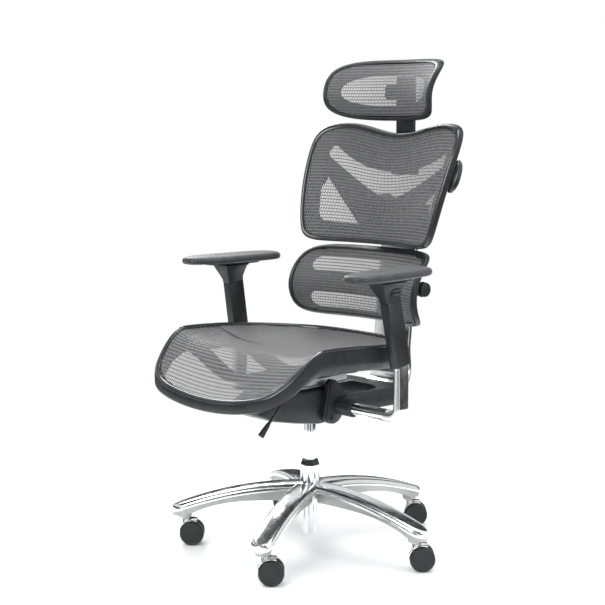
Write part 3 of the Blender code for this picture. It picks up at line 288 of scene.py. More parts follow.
@dataclass(frozen=True)
class SoftSkin:
    """Soft polyurethane skin with a fine leather grain."""

    name: str
    dark: Colour
    light: Colour

    def mix(self) -> bpy.types.Material:
        """Mixes the material."""
        recipe = Recipe(self.name)
        recipe.set(Specular_IOR_Level=0.45, Sheen_Weight=0.15)
        recipe.blend(recipe.noise(30.0), self.dark, self.light, "Base Color")
        recipe.vary(recipe.noise(70.0, 4.0), 0.34, 0.5, "Roughness")
        recipe.bump(recipe.cells(520.0), 0.0004, 0.25)
        recipe.bump(recipe.noise(1400.0), 0.00015, 0.4)
        return recipe.material


@dataclass(frozen=True)
class Paint:
    """Plain studio floor, faintly uneven."""

    name: str
    colour: Colour

    def mix(self) -> bpy.types.Material:
        """Mixes the material."""
        recipe = Recipe(self.name)
        recipe.set(Specular_IOR_Level=0.3)
        tint = tuple(value * 0.985 for value in self.colour)
        recipe.blend(recipe.noise(1.2), tint, self.colour, "Base Color")
        recipe.vary(recipe.noise(9.0), 0.42, 0.5, "Roughness")
        return recipe.material


class Wardrobe:
    """Every finish of the chair, mixed once and shared."""

    def __init__(self) -> None:
        """Mixes all finishes."""
        self.chrome = BrightMetal(
            "chrome", (0.93, 0.93, 0.94), (0.84, 0.85, 0.87), (0.035, 0.07), 0.0006
        ).mix()
        self.aluminium = BrightMetal(
            "polished_aluminium", (0.92, 0.92, 0.92), (0.80, 0.80, 0.80), (0.13, 0.22), 0.0009, 0.00003
        ).mix()
        self.cast = BrightMetal(
            "cast_aluminium", (0.52, 0.52, 0.51), (0.38, 0.38, 0.38), (0.38, 0.55), 0.0, 0.0003
        ).mix()
        self.steel = BrightMetal(
            "zinc_plated_steel", (0.62, 0.63, 0.65), (0.50, 0.51, 0.53), (0.25, 0.4), 0.0, 0.00005
        ).mix()
        self.plastic = MouldedPlastic(
            "charcoal_plastic", (0.008, 0.009, 0.010), (0.014, 0.016, 0.017), (0.34, 0.50), 0.00012
        ).mix()
        self.gloss = MouldedPlastic(
            "gloss_charcoal", (0.014, 0.019, 0.019), (0.026, 0.034, 0.034), (0.16, 0.28), 0.00003, 0.4
        ).mix()
        self.shell = MouldedPlastic(
            "shell_charcoal", (0.012, 0.014, 0.015), (0.020, 0.023, 0.024), (0.30, 0.45), 0.00015
        ).mix()
        self.dark_metal = MouldedPlastic(
            "black_paint", (0.009, 0.010, 0.011), (0.015, 0.016, 0.018), (0.28, 0.42), 0.00005, 0.2
        ).mix()
        self.tyre = MouldedPlastic(
            "wheel_polyurethane", (0.008, 0.009, 0.010), (0.014, 0.015, 0.017), (0.42, 0.58), 0.0002
        ).mix()
        self.yarn = WovenYarn("grey_yarn", (0.115, 0.115, 0.118), (0.165, 0.165, 0.168)).mix()
        self.skin = SoftSkin("pad_skin", (0.018, 0.022, 0.027), (0.030, 0.036, 0.042)).mix()


# ---------------------------------------------------------------- making and placing


def deselect_all() -> None:
    """Leaves no object selected."""
    for obj in bpy.context.view_layer.objects:
        obj.select_set(False)


def activate(obj: bpy.types.Object) -> None:
    """Makes an object the only selected one."""
    deselect_all()
    obj.select_set(True)
    bpy.context.view_layer.objects.active = obj


def from_bmesh(name: str, bm: bmesh.types.BMesh) -> bpy.types.Object:
    """Makes an object of a bmesh and moves its points to their place.

    Args:
        name: the object's name.
        bm: the shape, drawn about the column's axis and freed afterwards.

    Returns:
        The object, at the origin.
    """
    bmesh.ops.translate(bm, verts=bm.verts, vec=COLUMN)
    mesh = bpy.data.meshes.new(name)
    bm.to_mesh(mesh)
    bm.free()
    obj = bpy.data.objects.new(name, mesh)
    bpy.context.scene.collection.objects.link(obj)
    return obj


def settle(obj: bpy.types.Object) -> bpy.types.Object:
    """Applies an object's place, turn and scale, so that it ends at the origin."""
    activate(obj)
    bpy.ops.object.transform_apply(location=True, rotation=True, scale=True)
    return obj


def smooth(obj: bpy.types.Object, degrees: float = 32.0) -> bpy.types.Object:
    """Shades an object smooth, with edges sharper than an angle kept sharp."""
    activate(obj)
    bpy.ops.object.shade_smooth_by_angle(angle=math.radians(degrees))
    return obj


def add_modifier(obj: bpy.types.Object, kind: str, **settings: object) -> bpy.types.Object:
    """Adds a modifier with its settings and applies it.

    Args:
        obj: the object.
        kind: the modifier's type.
        settings: its properties.

    Returns:
        The object.
    """
    activate(obj)
    modifier = obj.modifiers.new(kind.lower(), kind)
    for name, value in settings.items():
        setattr(modifier, name, value)
    bpy.ops.object.modifier_apply(modifier=modifier.name)
    return obj


def rounded(
    obj: bpy.types.Object, width: float, segments: int = 2, degrees: float = 28.0
) -> bpy.types.Object:
    """Rounds every edge sharper than an angle."""
    return add_modifier(
        obj, "BEVEL", width=width, segments=segments, limit_method="ANGLE",
        angle_limit=math.radians(degrees), use_clamp_overlap=True,
    )


def dress(obj: bpy.types.Object, *materials: bpy.types.Material) -> bpy.types.Object:
    """Gives an object its materials; every face takes the first until it is told otherwise."""
    obj.data.materials.clear()
    for material in materials:
        obj.data.materials.append(material)
    return obj


def hand_over(obj: bpy.types.Object, body: str, slot: Slot, *nodes: str) -> bpy.types.Object:
    """Puts a piece on the CAD body that carries it and hides the CAD nodes that it replaces.

    Args:
        obj: the piece.
        body: the CAD body that carries it.
        slot: the record's material slot; not used.
        nodes: the CAD nodes that it replaces.

    Returns:
        The piece.
    """
    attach(obj, body)
    if nodes:
        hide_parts(*nodes)
    LOG.info("%s on %s: %d faces", obj.name, body, len(obj.data.polygons))
    return obj


def refined(node: str, bevel: float, *materials: bpy.types.Material) -> bpy.types.Object:
    """A merged copy of a CAD node with its flats joined and its edges rounded.

    Args:
        node: the CAD node.
        bevel: radius of the rounding.
        materials: the finish.

    Returns:
        The copy.
    """
    mesh = frame["nodes"][node].data.copy()
    obj = bpy.data.objects.new(node + "_finished", mesh)
    bpy.context.scene.collection.objects.link(obj)
    activate(obj)
    bpy.ops.object.mode_set(mode="EDIT")
    bpy.ops.mesh.select_all(action="SELECT")
    bpy.ops.mesh.remove_doubles(threshold=0.00001)
    bpy.ops.mesh.dissolve_limited(angle_limit=math.radians(1.0))
    bpy.ops.object.mode_set(mode="OBJECT")
    dress(rounded(obj, bevel, 2, 30.0), *materials)
    return smooth(obj)


def finish(
    obj: bpy.types.Object,
    material: bpy.types.Material,
    body: str,
    slot: Slot,
    *nodes: str,
    degrees: float = 32.0,
) -> bpy.types.Object:
    """Dresses a new piece in one material, shades it smooth and hands it over.

    Args:
        obj: the piece.
        material: its finish.
        body: the CAD body that carries it.
        slot: the record's material slot.
        nodes: the CAD nodes that it replaces.
        degrees: edges sharper than this stay sharp.

    Returns:
        The piece.
    """
    return hand_over(smooth(dress(obj, material), degrees), body, slot, *nodes)


def finish_node(node: str, bevel: float, slot: Slot, *materials: bpy.types.Material) -> bpy.types.Object:
    """Replaces a CAD node by its refined copy on the node's own body."""
    return hand_over(refined(node, bevel, *materials), BODY_OF[node], slot, node)


def skin(rings: Sequence[Sequence[Vector]], closed: bool = False) -> bmesh.types.BMesh:
    """A surface through rings of equal length.

    Args:
        rings: closed loops of points.
        closed: whether the last ring joins the first; otherwise both ends are capped.

    Returns:
        The surface, facing out.
    """
    bm = bmesh.new()
    loops = [[bm.verts.new(point) for point in ring] for ring in rings]
    following = loops[1:] + loops[:1] if closed else loops[1:]
    for near, far in zip(loops, following):
        for i in range(len(near)):
            j = (i + 1) % len(near)
            bm.faces.new((near[i], near[j], far[j], far[i]))
    if not closed:
        bm.faces.new(loops[0][::-1])
        bm.faces.new(loops[-1])
    bmesh.ops.recalc_face_normals(bm, faces=bm.faces)
    return bm


def spun(
    name: str, profile: Sequence[Point], steps: int = 64, place: Matrix | None = None
) -> bpy.types.Object:
    """Spins a closed profile about Z.

    Args:
        name: the object's name.
        profile: (radius, height) points.
        steps: sides of the full turn.
        place: where it goes, about the column's axis.

    Returns:
        The object, in place.
    """
    mesh = bpy.data.meshes.new(name)
    open_ended = profile[0][0] == 0
    count = len(profile)
    edges = [(i, i + 1) for i in range(count - 1)] + ([] if open_ended else [(count - 1, 0)])
    mesh.from_pydata([(radius, 0, height) for radius, height in profile], edges, [])
    obj = bpy.data.objects.new(name, mesh)
    bpy.context.scene.collection.objects.link(obj)
    activate(obj)
    bpy.ops.object.mode_set(mode="EDIT")
    bpy.ops.mesh.select_all(action="SELECT")
    bpy.ops.mesh.spin(steps=steps, angle=2 * math.pi, center=(0, 0, 0), axis=(0, 0, 1))
    bpy.ops.mesh.select_all(action="SELECT")
    bpy.ops.mesh.remove_doubles(threshold=0.000005)
    bpy.ops.mesh.normals_make_consistent(inside=False)
    bpy.ops.object.mode_set(mode="OBJECT")
    mesh.transform(Matrix.Translation(COLUMN) @ (place if place is not None else Matrix.Identity(4)))
    return obj


def arc(centre: Point, radius: float, first: float, last: float, steps: int) -> list[Point]:
    """Points on an arc, angles in degrees."""
    angles = [math.radians(first + (last - first) * k / steps) for k in range(steps + 1)]
    return [(centre[0] + radius * math.cos(a), centre[1] + radius * math.sin(a)) for a in angles]


def rounded_section(half_width: float, half_height: float, corner: float, steps: int = 6) -> list[Point]:
    """Points round a rectangle with rounded corners."""
    points: list[Point] = []
    for sign_a, sign_b, first in ((1, 1, 0), (-1, 1, 90), (-1, -1, 180), (1, -1, 270)):
        centre = (sign_a * (half_width - corner), sign_b * (half_height - corner))
        points += arc(centre, corner, first, first + 90, steps)
    return points


def swept(
    path: Sequence[Vector], side: Vector, section_at: Callable[[float], list[Point]]
) -> bmesh.types.BMesh:
    """A bar along a path.

    Args:
        path: points of its centre line.
        side: the direction that its section's first number runs along.
        section_at: the section at a share of the length.

    Returns:
        The bar.
    """
    rings = []
    for k, point in enumerate(path):
        ahead = path[min(k + 1, len(path) - 1)] - path[max(k - 1, 0)]
        out = side.cross(ahead.normalized()).normalized()
        rings.append([point + side * a + out * b for a, b in section_at(k / (len(path) - 1))])
    return skin(rings)


def smooth_step(value: float, low: float, high: float) -> float:
    """0 at low, 1 at high, level at both."""
    share = min(max((value - low) / (high - low), 0.0), 1.0)
    return share * share * (3 - 2 * share)


def squircle(angle: float, power: float) -> Point:
    """The point of a unit rounded square in one direction."""
    c, s = math.cos(angle), math.sin(angle)
    reach = (abs(c) ** power + abs(s) ** power) ** (-1 / power)
    return c * reach, s * reach


# ---------------------------------------------------------------- framed mesh panels


@dataclass
class FramedPanel:
    """A mesh panel in a moulded frame, drawn on one double-curved surface."""

    surface: Surface
    half_width: float
    half_height: float
    top_power: float
    bottom_power: float
    depth_way: Vector
    sides: int = 168

    def power(self, t: float) -> float:
        """Squareness of the outline in the half that t is in."""
        return self.top_power if t > 0 else self.bottom_power

    def ring(self, inset: float, depth: Depth, scale: float = 1.0) -> list[Vector]:
        """Points round the outline.

        Args:
            inset: how far in from the outline.
            depth: how far behind the surface, or a function of t.
            scale: share of the way out from the middle.

        Returns:
            The points.
        """
        points = []
        for k in range(self.sides):
            angle = 2 * math.pi * k / self.sides
            s, t = squircle(angle, self.top_power if angle < math.pi else self.bottom_power)
            s *= scale * (1 - inset / self.half_width)
            t *= scale * (1 - inset / self.half_height)
            deep = depth(t) if callable(depth) else depth
            points.append(self.surface(s, t) + self.depth_way * deep)
        return points

    def beaded(
        self, name: str, section: Sequence[tuple[float, Depth]], bead: range, *materials: bpy.types.Material
    ) -> bpy.types.Object:
        """A ring-shaped frame of one section with a bead of its own finish.

        Args:
            name: the piece's name.
            section: inset and depth of each corner.
            bead: the section's sides that make the bead.
            materials: the finish, then the bead's.

        Returns:
            The frame, dressed.
        """
        rim = from_bmesh(name, skin([self.ring(inset, depth) for inset, depth in section], closed=True))
        dress(rim, *materials)
        for index, face in enumerate(rim.data.polygons):
            face.material_index = int(index // self.sides in bead)
        return rim

    def tray(self, lip: float, recess: float, depth: float) -> bmesh.types.BMesh:
        """A frame with a closed rear shell.

        Args:
            lip: width of its front edge.
            recess: how far the shell stands behind the front.
            depth: of the rim.

        Returns:
            The frame.
        """
        shares = (0.02, 0.15, 0.3, 0.45, 0.6, 0.75, 0.9)
        section = [(lip + 0.0015, recess), (lip, recess - 0.0015), (lip, 0.0035), (lip - 0.0009, 0.0009)]
        section += [(lip - 0.0035, 0.0), (0.0045, 0.0), (0.0022, 0.0008), (0.0006, 0.0026), (0.0, 0.0052)]
        section += [(0.0, depth - 0.006), (0.0008, depth - 0.0028), (0.0032, depth - 0.0006), (0.006, depth)]
        section += [(lip + 0.002, depth), (lip + 0.0045, depth - 0.0012), (lip + 0.007, recess + 0.0044)]
        rings = [self.ring(lip, recess, share) for share in shares]
        rings += [self.ring(inset, deep) for inset, deep in section]
        rings += [self.ring(lip + 0.008, recess + 0.004, share) for share in reversed(shares)]
        return skin(rings)

    def fabric(self, name: str, inset: float, depth: float, cell: Point, slit: Point) -> bpy.types.Object:
        """An open mesh of staggered slits, stretched over the surface.

        Args:
            name: the piece's name.
            inset: where its edge lies, in from the outline.
            depth: how far behind the surface it lies.
            cell: width and row height of a cell.
            slit: share of the cell's width and height that is open.

        Returns:
            The fabric.
        """
        limit_s, limit_t = 1 - inset / self.half_width, 1 - inset / self.half_height
        width, row = cell
        tall, short = row * 0.62, row * 0.38
        corners = [(0, tall), (-width / 2, short), (-width / 2, -short)]
        corners += [(0, -tall), (width / 2, -short), (width / 2, short)]
        bm = bmesh.new()
        shared: dict[tuple[int, int], bmesh.types.BMVert] = {}

        def place(u: float, v: float) -> Vector:
            """The point of the cloth at a distance across and up, kept inside the frame."""
            s, t = u / (self.half_width * limit_s), v / (self.half_height * limit_t)
            power = self.power(t)
            reach = (abs(s) ** power + abs(t) ** power) ** (1 / power)
            if reach > 1:
                s, t = s / reach, t / reach
            return self.surface(s * limit_s, t * limit_t) + self.depth_way * depth

        rows = int(self.half_height / row) + 1
        columns = int(self.half_width / width) + 1
        for j in range(-rows, rows + 1):
            for i in range(-columns, columns + 1):
                u, v = (i + 0.5 * (j % 2)) * width, j * row
                s, t = u / (self.half_width * limit_s), v / (self.half_height * limit_t)
                power = self.power(t)
                if abs(s) ** power + abs(t) ** power > 0.995:
                    continue
                outer, inner = [], []
                for a, b in corners:
                    key = (round((u + a) * 20000), round((v + b) * 20000))
                    if key not in shared:
                        shared[key] = bm.verts.new(place(u + a, v + b))
                    outer.append(shared[key])
                    inner.append(bm.verts.new(place(u + a * slit[0], v + b * slit[1])))
                for k in range(6):
                    m = (k + 1) % 6
                    if len({outer[k], outer[m], inner[m], inner[k]}) == 4:
                        bm.faces.new((outer[k], outer[m], inner[m], inner[k]))
        obj = from_bmesh(name, bm)
        return add_modifier(obj, "SOLIDIFY", thickness=YARN, offset=0.0)


@dataclass
class Cloth:
    """A stretched cloth: its name, its frame, its cut size and the share that is cloth; stretching dresses
    the fabric and puts it on its body in place of the CAD node of its name.
    """

    name: str
    rim: bpy.types.Object
    flat: Point
    share: float

    def stretch(self, fabric: bpy.types.Object, yarn: bpy.types.Material, body: str) -> None:
        """Args:
            fabric: the cloth.
            yarn: its finish.
            body: the CAD body that carries it.
        """
        hand_over(dress(fabric, yarn), body, Slot.MESH, self.name)


@dataclass
class Seat:
    """Seat: rim, cross-ribs, keel and the stretched mesh."""

    wardrobe: Wardrobe
    half_width: float = 0.247
    front: float = -0.343
    rear: float = 0.172
    power_rear: float = 3.1
    power_front: float = 4.6
    low: float = 0.415
    high: float = 0.540
    back_height: float = 0.515
    crest_y: float = -0.190
    corner_lift: float = 0.043
    dish: float = 0.034
    crown: float = 0.028
    rear_taper: float = 0.10
    rim_width: float = 0.016
    front_depth: float = 0.034
    side_depth: float = 0.056
    rail_top: float = 0.431
    ribs: tuple[Point, ...] = ((-0.215, -0.165), (-0.065, 0.0), (0.075, 0.125))

    def rim_height(self, s: float, y: float) -> float:
        """Height of the rim at a place."""
        rise = smooth_step(y, self.front + 0.01, self.crest_y)
        fall = smooth_step(y, self.crest_y, self.rear + 0.04)
        height = self.low + (self.high - self.low) * rise - (self.high - self.back_height) * fall
        return height + self.corner_lift * s * s * (1 - rise)

    def half_at(self, t: float) -> float:
        """Half the width, which narrows towards the rear."""
        return self.half_width * (1 - self.rear_taper * max(0.0, t) ** 2)

    def power(self, t: float) -> float:
        """Squareness of the outline in the half that t is in."""
        return self.power_rear if t > 0 else self.power_front

    def surface(self, s: float, t: float) -> Vector:
        """Top of the seat over a unit rounded square."""
        y = self.front + (self.rear - self.front) * (t + 1) / 2
        power = self.power(t)
        inside = max(0.0, 1 - abs(s) ** power - abs(t) ** power)
        dish = self.dish * inside * smooth_step(t, -1.0, -0.25)
        crown = self.crown * inside * (1 - smooth_step(t, -1.0, -0.3))
        return Vector((self.half_at(t) * s, y, self.rim_height(s, y) - dish + crown))

    def depth(self, t: float) -> float:
        """Height of the rim's skirt."""
        return self.front_depth + (self.side_depth - self.front_depth) * smooth_step(t, -1.0, -0.45)

    def rib(self, y_front: float, y_rear: float) -> bmesh.types.BMesh:
        """One rib from rim to rim, hanging down to the rails in the middle."""
        rings = []
        inset = (self.rim_width - 0.002) / self.half_width
        for k in range(49):
            s = (k - 24) / 24
            rise = smooth_step(abs(s), 0.28, 0.95)
            ring = []
            for y, lift in ((y_front, 0), (y_rear, 0), (y_rear, 0.008), (y_front, 0.008)):
                t = 2 * (y - self.front) / (self.rear - self.front) - 1
                edge = (1 - abs(t) ** self.power(t)) ** (1 / self.power(t)) * (1 - inset)
                half = self.half_at(t) * edge
                high = self.rim_height(edge, y) - self.depth(t) + 0.006
                ring.append(Vector((half * s, y, self.rail_top + (high - self.rail_top) * rise + lift)))
            rings.append(ring)
        return skin(rings)

    def build(self) -> None:
        """Builds the frame and the mesh."""
        panel = FramedPanel(
            self.surface, self.half_width, (self.rear - self.front) / 2, self.power_rear, self.power_front,
            Vector((0, 0, -1)), 200,
        )
        width, deep = self.rim_width, self.depth
        section: list[tuple[float, Depth]] = [
            (0.0, lambda t: deep(t) * 0.7), (0.0, 0.0085), (0.0012, 0.0075), (0.0002, 0.0060),
            (0.0004, 0.0030), (0.0022, 0.0008), (0.0052, 0.0), (0.0080, 0.0006), (0.0098, 0.0022),
            (0.0102, 0.0046), (0.0118, 0.0052), (width - 0.0015, 0.0048), (width, 0.0062), (width, 0.012),
            (width + 0.004, lambda t: deep(t) - 0.004), (width + 0.002, lambda t: deep(t) - 0.001),
            (0.010, deep), (0.006, lambda t: deep(t) - 0.003), (0.002, lambda t: deep(t) * 0.85),
        ]
        rim = panel.beaded("seat_rim", section, range(2, 9), self.wardrobe.plastic, self.wardrobe.gloss)
        hand_over(smooth(rim, 40), "seat", Slot.PLASTIC, "seat_frame")
        for index, (y_front, y_rear) in enumerate(self.ribs):
            rib = from_bmesh(f"seat_rib_{index + 1}", self.rib(y_front, y_rear))
            finish(rounded(rib, 0.0025, 2), self.wardrobe.plastic, "seat", Slot.PLASTIC)
        self.keel()
        cloth = panel.fabric("seat_cloth", width - 0.004, 0.004, SEAT_CELL, SEAT_SLIT)
        flat = (2 * self.half_width - 0.024, self.rear - self.front - 0.024)
        Cloth("seat_mesh", rim, flat, 0.93).stretch(cloth, self.wardrobe.yarn, "seat")

    def keel(self) -> None:
        """The plate that joins the ribs over the rails."""
        deselect_all()
        middle = Vector((0, -0.0475, self.rail_top + 0.004))
        bpy.ops.mesh.primitive_cube_add(size=1, location=COLUMN + middle)
        keel = bpy.context.object
        keel.name = "seat_keel"
        keel.scale = (0.116, 0.315, 0.008)
        finish(rounded(settle(keel), 0.002, 2), self.wardrobe.plastic, "seat", Slot.PLASTIC)
        finish_node("seat_plate", METAL_EDGE, Slot.STEEL, self.wardrobe.steel)


@dataclass
class UpperBack:
    """Upper back: frame, mesh, Y-shaped support, top cover with the headrest's holder and the carriage."""

    wardrobe: Wardrobe
    bottom: float = 0.726
    top: float = 1.000
    half_width: float = 0.243
    y: float = 0.170
    bulge: float = 0.050
    lip: float = 0.010
    flange: float = 0.044
    depth: float = 0.026
    support_gap: float = 0.0035
    support_thickness: float = 0.009
    support_reach: float = 0.222
    end_x: float = 0.219
    end_z: float = 0.900

    def lean(self, z: float) -> float:
        """How far back the sides stand at a height."""
        rise = z - self.bottom
        return self.y + 0.10 * rise + 0.75 * rise * rise

    def half_width_at(self, share: float) -> float:
        """Half the width at a share of the height."""
        share = max(share, 0.0)
        return self.half_width * (0.855 + 0.145 * math.sin(math.pi / 2 * min(1.0, share * 1.15)) ** 0.8)

    def surface(self, s: float, t: float) -> Vector:
        """Front of the back over a unit rounded square."""
        share = (t + 1) / 2
        lobe = 0.026 * math.sin(math.pi / 2 * min(abs(s) / 0.74, 1.0)) ** 2
        z = self.bottom + (self.top + lobe - self.bottom) * share
        return Vector((self.half_width_at(share) * s, self.lean(z) + self.bulge * (1 - s * s), z))

    def plane(self, x: float, z: float) -> float:
        """Y of the front surface at x and z."""
        s = x / self.half_width_at((z - self.bottom) / (self.top - self.bottom))
        return self.lean(z) + self.bulge * (1 - s * s)

    def strip(
        self, low: Callable[[float], float], high: Callable[[float], float],
        reach: float, depth: float, thickness: float,
    ) -> bmesh.types.BMesh:
        """A curved panel behind the back.

        Args:
            low: lower edge as a function of the distance from the middle.
            high: upper edge likewise.
            reach: half its width.
            depth: how far behind the front surface it stands.
            thickness: of the panel.

        Returns:
            The panel.
        """
        rings = []
        for k in range(65):
            x = reach * (k / 32 - 1)
            base, crest = low(abs(x)), high(abs(x))
            heights = [base + (crest - base) * i / 6 for i in range(7)]
            ring = [Vector((x, self.plane(x, z) + depth, z)) for z in heights]
            ring += [Vector((x, self.plane(x, z) + depth + thickness, z)) for z in reversed(heights)]
            rings.append(ring)
        return skin(rings)

    def build(self) -> None:
        """Builds and dresses every piece of the upper back."""
        looks = self.wardrobe
        panel = FramedPanel(
            self.surface, self.half_width, (self.top - self.bottom) / 2, 8.0, 12.0, Vector((0, 1, 0)), 220
        )
        lip, flange, depth = self.lip, self.flange, self.depth
        section: list[tuple[float, Depth]] = [
            (0.0, depth - 0.006), (0.0, 0.0060), (0.0008, 0.0030), (0.0028, 0.0008), (0.0050, 0.0),
            (lip - 0.0022, 0.0002), (lip - 0.0004, 0.0012), (lip, 0.0032), (lip, 0.0120),
            (lip + 0.002, 0.0136), (flange - 0.002, 0.0138), (flange, 0.0150), (flange - 0.0004, 0.0176),
            (lip + 0.006, depth - 0.001), (lip + 0.003, depth), (0.005, depth), (0.0018, depth - 0.0018),
        ]
        rim = panel.beaded("upper_back_rim", section, range(1, 6), looks.shell, looks.gloss)
        hand_over(smooth(rim, 40), "back", Slot.PLASTIC, "upper_back_frame")
        cloth = panel.fabric("upper_back_cloth", lip - 0.0002, CLOTH_DEPTH, BACK_CELL, BACK_SLIT)
        flat = (2 * self.half_width - 0.02, self.top - self.bottom + 0.01)
        Cloth("upper_back_mesh", rim, flat, 0.93).stretch(cloth, looks.yarn, "back")
        self.support(looks)
        finish_node("back_carriage", MOULD_EDGE, Slot.PLASTIC, looks.plastic)
        finish_node("headrest_holder", MOULD_EDGE, Slot.PLASTIC, looks.plastic)

    def support(self, looks: Wardrobe) -> None:
        """The Y-shaped support with its rounded arm ends."""

        def low(x: float) -> float:
            """Lower edge of the support."""
            return self.bottom + 0.014 + 1.03 * max(0.0, x - 0.050)

        def high(x: float) -> float:
            """Upper edge of the support."""
            return self.bottom + 0.108 + 0.101 * (x / 0.2) ** 1.3

        behind = self.depth + self.support_gap
        strip = self.strip(low, high, self.support_reach, behind, self.support_thickness)
        arms = from_bmesh("back_support_arms", strip)
        finish(rounded(arms, 0.003, 3, 40), looks.plastic, "back", Slot.PLASTIC, "back_support", degrees=40)
        for side in Side:
            end_piece = self.arm_end(side, behind + 2 * self.support_thickness)
            end = from_bmesh(f"back_support_end_{side.hand}", end_piece)
            finish(end, looks.gloss, "back", Slot.PLASTIC, degrees=50)

    def arm_end(self, side: Side, behind: float) -> bmesh.types.BMesh:
        """The rounded end of a support arm, leaning with the back."""
        rings = []
        for k in range(21):
            share = math.sin(math.pi / 2 * (k / 10 - 1))
            size = max(0.12, (1 - abs(share) ** 2.6)) ** 0.5
            z = self.end_z + 0.038 * share
            middle = Vector((side.value * self.end_x, self.plane(self.end_x, z) + behind, z))
            corners = (squircle(2 * math.pi * i / 32, 2.6) for i in range(32))
            rings.append([middle + Vector((0.015 * size * a, 0.016 * size * b, 0)) for a, b in corners])
        return skin(rings)


@dataclass
class Lumbar:
    """Lumbar pad: slotted shell, mesh and the bracket that it rocks on."""

    wardrobe: Wardrobe
    bottom: float = 0.538
    top: float = 0.717
    half_width: float = 0.212
    bulge: float = 0.045
    y: float = 0.126
    depth: float = 0.022
    upper_slot: tuple[float, float, float] = (0.170, 0.063, 0.030)
    lower_slot: tuple[float, float, float] = (0.165, 0.022, 0.062)

    def surface(self, s: float, t: float) -> Vector:
        """Front of the lumbar pad over a unit rounded square."""
        z = self.bottom + (self.top - self.bottom) * (t + 1) / 2
        x = self.half_width * (0.965 + 0.035 * math.cos(math.pi / 2 * t)) * s
        bow = 7.0 * (z - (self.bottom + 0.42 * (self.top - self.bottom))) ** 2
        return Vector((x, self.y + bow + self.bulge * (1 - s * s), z))

    def build(self) -> None:
        """Builds the shell and the mesh."""
        looks = self.wardrobe
        panel = FramedPanel(
            self.surface, self.half_width, (self.top - self.bottom) / 2, 8.0, 8.0, Vector((0, 1, 0)), 180
        )
        shell = from_bmesh("lumbar_shell", panel.tray(TRAY_LIP, TRAY_RECESS, self.depth))
        half, low, high = self.upper_slot
        cut_window(shell, slot_outline(half, self.top - low, self.top - high))
        half, low, high = self.lower_slot
        cut_window(shell, slot_outline(half, self.bottom + low, self.bottom + high))
        finish(shell, looks.shell, "lumbar", Slot.PLASTIC, "lumbar_frame", degrees=35)
        cloth = panel.fabric("lumbar_cloth", TRAY_CLOTH_INSET, CLOTH_DEPTH, BACK_CELL, BACK_SLIT)
        flat = (2 * self.half_width - TRAY_MARGIN, self.top - self.bottom - TRAY_MARGIN)
        Cloth("lumbar_mesh", shell, flat, 0.95).stretch(cloth, looks.yarn, "lumbar")
        finish_node("lumbar_bracket", MOULD_EDGE, Slot.PLASTIC, looks.plastic)


@dataclass
class Headrest:
    """Headrest: shell with an oval window, mesh, pivot and stem."""

    wardrobe: Wardrobe
    bottom: float = 1.037
    top: float = 1.183
    half_width: float = 0.182
    bulge: float = 0.045
    y: float = 0.214
    depth: float = 0.022
    window: Point = (0.140, 0.038)
    window_drop: float = 0.004
    stem_half: float = 0.029
    stem_bottom: float = 0.908

    def surface(self, s: float, t: float) -> Vector:
        """Front of the headrest over a unit rounded square."""
        z = self.bottom + (self.top - self.bottom) * (t + 1) / 2
        x = self.half_width * (1.0 - 0.03 * (1 - t)) * s
        z -= 0.006 * (1 - s * s) * (t < 0) * -t
        bow = 8.0 * (z - self.bottom - 0.37 * (self.top - self.bottom)) ** 2
        return Vector((x, self.y + bow + self.bulge * (1 - s * s), z))

    def build(self) -> None:
        """Builds the shell, the mesh and the pivot."""
        looks = self.wardrobe
        panel = FramedPanel(
            self.surface, self.half_width, (self.top - self.bottom) / 2, 4.8, 4.8, Vector((0, 1, 0)), 160
        )
        shell = from_bmesh("headrest_shell", panel.tray(TRAY_LIP, TRAY_RECESS, self.depth))
        middle = (self.top + self.bottom) / 2 - self.window_drop
        corners = (squircle(2 * math.pi * k / 96, 2.6) for k in range(96))
        cut_window(shell, [(self.window[0] * s, middle + self.window[1] * t) for s, t in corners])
        finish(shell, looks.shell, "headrest", Slot.PLASTIC, "headrest_frame", degrees=35)
        cloth = panel.fabric("headrest_cloth", TRAY_CLOTH_INSET, CLOTH_DEPTH, BACK_CELL, BACK_SLIT)
        flat = (2 * self.half_width - TRAY_MARGIN, self.top - self.bottom - TRAY_MARGIN)
        Cloth("headrest_mesh", shell, flat, 0.9).stretch(cloth, looks.yarn, "headrest")
        self.stem(looks)

    def stem(self, looks: Wardrobe) -> None:
        """The flat stem with its ears, and the knuckle that turns between them."""
        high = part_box("headrest_stem")[1]
        pivot_low, pivot_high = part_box("headrest_pivot")
        middle = (pivot_low + pivot_high) / 2
        low_corner = (-0.020, pivot_low.y, pivot_low.z)
        knuckle = block("headrest_knuckle", low_corner, (0.020, pivot_high.y - 0.009, pivot_high.z), 0.003)
        finish(knuckle, looks.plastic, "headrest", Slot.PLASTIC, "headrest_pivot")
        half = self.stem_half
        low_corner = (-half, high.y - 0.012, self.stem_bottom)
        stem = block("headrest_flat_stem", low_corner, (half, high.y, middle.z + 0.040), 0.003)
        finish(stem, looks.plastic, "headrest_post", Slot.PLASTIC, "headrest_stem")
        for side in Side:
            inner, outer = sorted((side.value * (half - 0.009), side.value * (half - 0.001)))
            low_corner = (inner, pivot_high.y - 0.021, middle.z - 0.014)
            high_corner = (outer, high.y - 0.004, middle.z + 0.014)
            ear = block(f"headrest_ear_{side.hand}", low_corner, high_corner, 0.002)
            finish(ear, looks.plastic, "headrest_post", Slot.PLASTIC)


